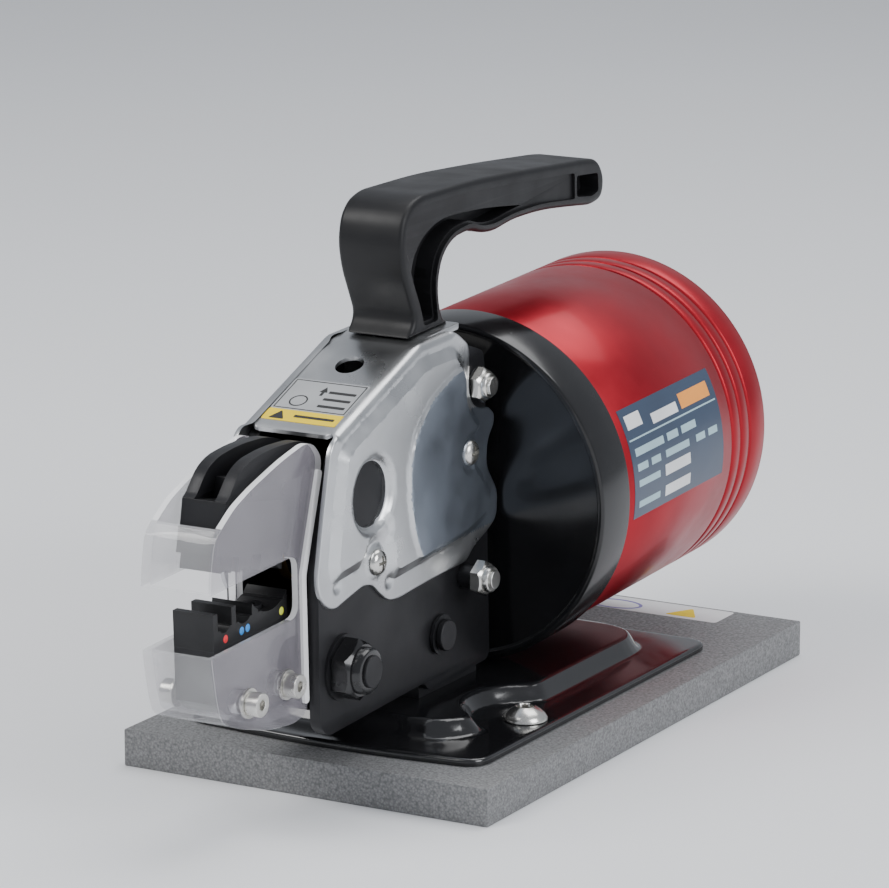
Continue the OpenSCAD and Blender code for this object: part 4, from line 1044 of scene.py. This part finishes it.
for side, name in ((1, "jaw_plate_right"), (-1, "jaw_plate_left")):
    mesh = prism([outline, *holes], jaw["inner"], jaw["outer"])
    mesh = mesh if side > 0 else mirrored(mesh)
    finish(name + "Shown", mesh, "blackSteel", [name], body="jaw", bevel=jaw["edge"], segments=3)

# A coloured dot on the lower die by each nest
dots = {"x": 7.0, "z": -7.3, "radius": 1.25, "flat": 0.16,
        "at": [("redDot", -146.5), ("blueDot", -137.5), ("blueDot", -134.2), ("yellowDot", -115.0)]}
for k, (lookName, y) in enumerate(dots["at"]):
    mesh = bmesh.new()
    place = Matrix.Translation((dots["x"], y, dots["z"])) @ Matrix.Rotation(math.radians(90), 4,
                                                                            "Y")
    place = place @ Matrix.Scale(dots["flat"], 4, (0, 0, 1))
    bmesh.ops.create_uvsphere(mesh, u_segments=20, v_segments=10, radius=dots["radius"],
                              matrix=place)
    finish(f"dieDot{k}", mesh, lookName)
print("jaws made")

# Return spring, round the rod between the front cap and the piston
spring = {"front": 26.1, "rear": 79.9, "coil": 26.0, "wire": 2.0, "turns": 4.5, "steps": 216,
          "sides": 12, "keep": 0.479}
mesh = bmesh.new()
rings = []
run = spring["rear"] - spring["front"] - 2 * spring["wire"]
for i in range(spring["steps"] + 1):
    share = i / spring["steps"]
    a = 2 * math.pi * spring["turns"] * share
    y = spring["front"] + spring["wire"] + run * share
    ring = []
    for k in range(spring["sides"]):
        b = 2 * math.pi * k / spring["sides"]
        r = spring["coil"] + spring["wire"] * math.cos(b)
        ring.append(mesh.verts.new((r * math.cos(a), y + spring["wire"] * math.sin(b),
                                    r * math.sin(a))))
    rings.append(ring)
for here, there in zip(rings, rings[1:]):
    for k in range(spring["sides"]):
        n = (k + 1) % spring["sides"]
        mesh.faces.new((here[k], here[n], there[n], there[k]))
mesh.faces.new(rings[0])
mesh.faces.new(rings[-1])
piece = finish("returnSpringShown", mesh, "steel", ["return_spring"])
lean = math.radians(placement["lean"])
along = (0.0, math.cos(lean), math.sin(lean))
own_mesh(piece)
print("spring made")

# Guard
guard = {"half": 12.0, "wall": 2.0, "edge": 0.9, "slotLow": -8.8, "slotHigh": 10.5,
         "slotRear": -113.5,
         "screws": [(ref - 63, -27.4), (ref - 41.5, -27.8)], "screwHole": 2.2, "rail": 0.95,
         "bottom": -36}
nose = ref - 82.4
outline = rounded([
    (nose, -8.8, 3), (nose + 0.6, 10.5, 3), (nose + 1.4, 18.5, 4), (nose + 3.6, 26.5, 3),
    (nose + 10, 30.4, 3), (nose + 15, 33.4, 3), (nose + 24.7, 36.8, 5), (nose + 42, 41.1, 6),
    (ref - 27, 43.2, 4), (ref - 22, 41.6, 3), (ref - 18.2, 37, 3), (ref - 18.6, 33, 3),
    (ref - 29.4, 3, 6), (ref - 29.4, -37, 2), (ref - 31, -40, 2), (ref - 37, -41.2, 4),
    (ref - 52, -39.2, 6), (ref - 68.5, -33.8, 5), (nose + 4.6, -29.6, 3), (nose + 2.2, -22.5, 4)],
    3)
inner = rounded([
    (nose + 2, -8.8, 3), (nose + 2.6, 10.5, 3), (nose + 3.4, 18.5, 4), (nose + 5.2, 25.5, 2),
    (nose + 7, 28, 1), (nose + 20, 60, 1), (ref, 60, 1), (ref, -37.4, 1), (ref - 33, -38.6, 2),
    (ref - 37, -39.2, 3), (ref - 51.7, -37.2, 6), (ref - 67.8, -32, 5), (nose + 6, -28.3, 3),
    (nose + 4.2, -22.5, 4)], 2)
half = guard["half"]
inside = half - guard["wall"]
mesh = prism([outline], -half, half)
piece = finish("guardShown", mesh, "clearFront", ["guard"], bevel=guard["edge"], segments=3)
carve(piece, prism([inner], -inside, inside))
slot = rounded([(nose - 10, guard["slotLow"], 0), (guard["slotRear"], guard["slotLow"], 4.5),
                (guard["slotRear"], guard["slotHigh"], 4.5), (nose - 10, guard["slotHigh"], 0)], 0)
carve(piece, prism([slot], -20, 20))
for at in guard["screws"]:
    carve(piece, prism([circle(at, guard["screwHole"], 24)], -20, 20))
rail = rounded([(ref - 32.6, -36.5), (ref - 30.0, -36.5), (ref - 30.0, 3), (ref - 19.2, 33),
                (ref - 21.8, 34.2), (ref - 32.6, 4)], 1.2)
for side in (1, -1):
    mesh = prism([rail], half - 0.3, half + guard["rail"])
    carve(piece, mesh if side > 0 else mirrored(mesh), "UNION")
for name in ("clearSide", "clearEdge"):
    piece.data.materials.append(looks[name])
# Faces across the tool get the front plastic with its white painted reflection, the two sides the
# side plastic with its darker painted reflection, and cut edges and rails the edge plastic with its
# painted highlight
for face in piece.data.polygons:
    middle, across = toolBack @ face.center, abs(face.normal.x)
    isCut = across < 0.3 and abs(middle.x) > inside + 0.01 and middle.z > guard["bottom"]
    isRail = abs(middle.x) > half + 0.02
    face.material_index = 2 if isCut or isRail or 0.3 <= across < 0.97 else int(across >= 0.97)
smoothed(piece, 35)
print("guard made")

# Stage
stage = {"half": 6.0, "floor": (0.78, 0.79, 0.81), "floorRough": 0.75, "aim": (0, -0.02, 0.08),
         "sky": (0.82, 0.86, 0.93, 1), "skyStrength": 0.55}
look = Look("floor")
look.set(Base_Color=tinted(look, stage["floor"], 0.01, 3), Roughness=stage["floorRough"])
mesh = bmesh.new()
half = stage["half"]
mesh.faces.new([mesh.verts.new((x, y, 0)) for x, y in rect(-half, -half, half, half)])
floor = placed("floor", mesh)
floor.data.materials.append(look.material)

# Name, place, size, power and colour; all three face the tool
lights = [
    ("keyLight", (-0.75, -1.05, 1.25), 0.9, 20.0, (1.0, 0.99, 0.97)),
    ("sideLight", (1.5, -0.35, 0.85), 0.9, 19.0, (0.97, 0.98, 1.0)),
    ("topLight", (0.15, 0.5, 1.5), 1.1, 14.0, (1.0, 1.0, 1.0)),
]
for name, spot, size, power, color in lights:
    lamp = bpy.data.lights.new(name, "AREA")
    lamp.shape = "SQUARE"
    lamp.size = size
    lamp.energy = power
    lamp.color = color
    holder = bpy.data.objects.new(name, lamp)
    holder.location = spot
    aim = Vector(stage["aim"]) - Vector(spot)
    holder.rotation_euler = aim.to_track_quat("-Z", "Y").to_euler()
    bpy.context.scene.collection.objects.link(holder)
world = bpy.data.worlds.new("studio")
bpy.context.scene.world = world
world.use_nodes = True
sky = world.node_tree.nodes["Background"]
sky.inputs[0].default_value = stage["sky"]
sky.inputs[1].default_value = stage["skyStrength"]

view = {"place": (0.7226, -1.3038, 0.4379), "azimuth": 29.39, "elevation": 13.19, "lens": 192.35}
lens = bpy.data.cameras.new("camera")
lens.lens = view["lens"]
lens.sensor_width = 36.0
lens.clip_end = 50.0
lens.dof.use_dof = False
camera = bpy.data.objects.new("camera", lens)
camera.location = view["place"]
camera.rotation_euler = (math.radians(90 - view["elevation"]), 0, math.radians(view["azimuth"]))
bpy.context.scene.collection.objects.link(camera)
bpy.context.scene.camera = camera
print("stage made")
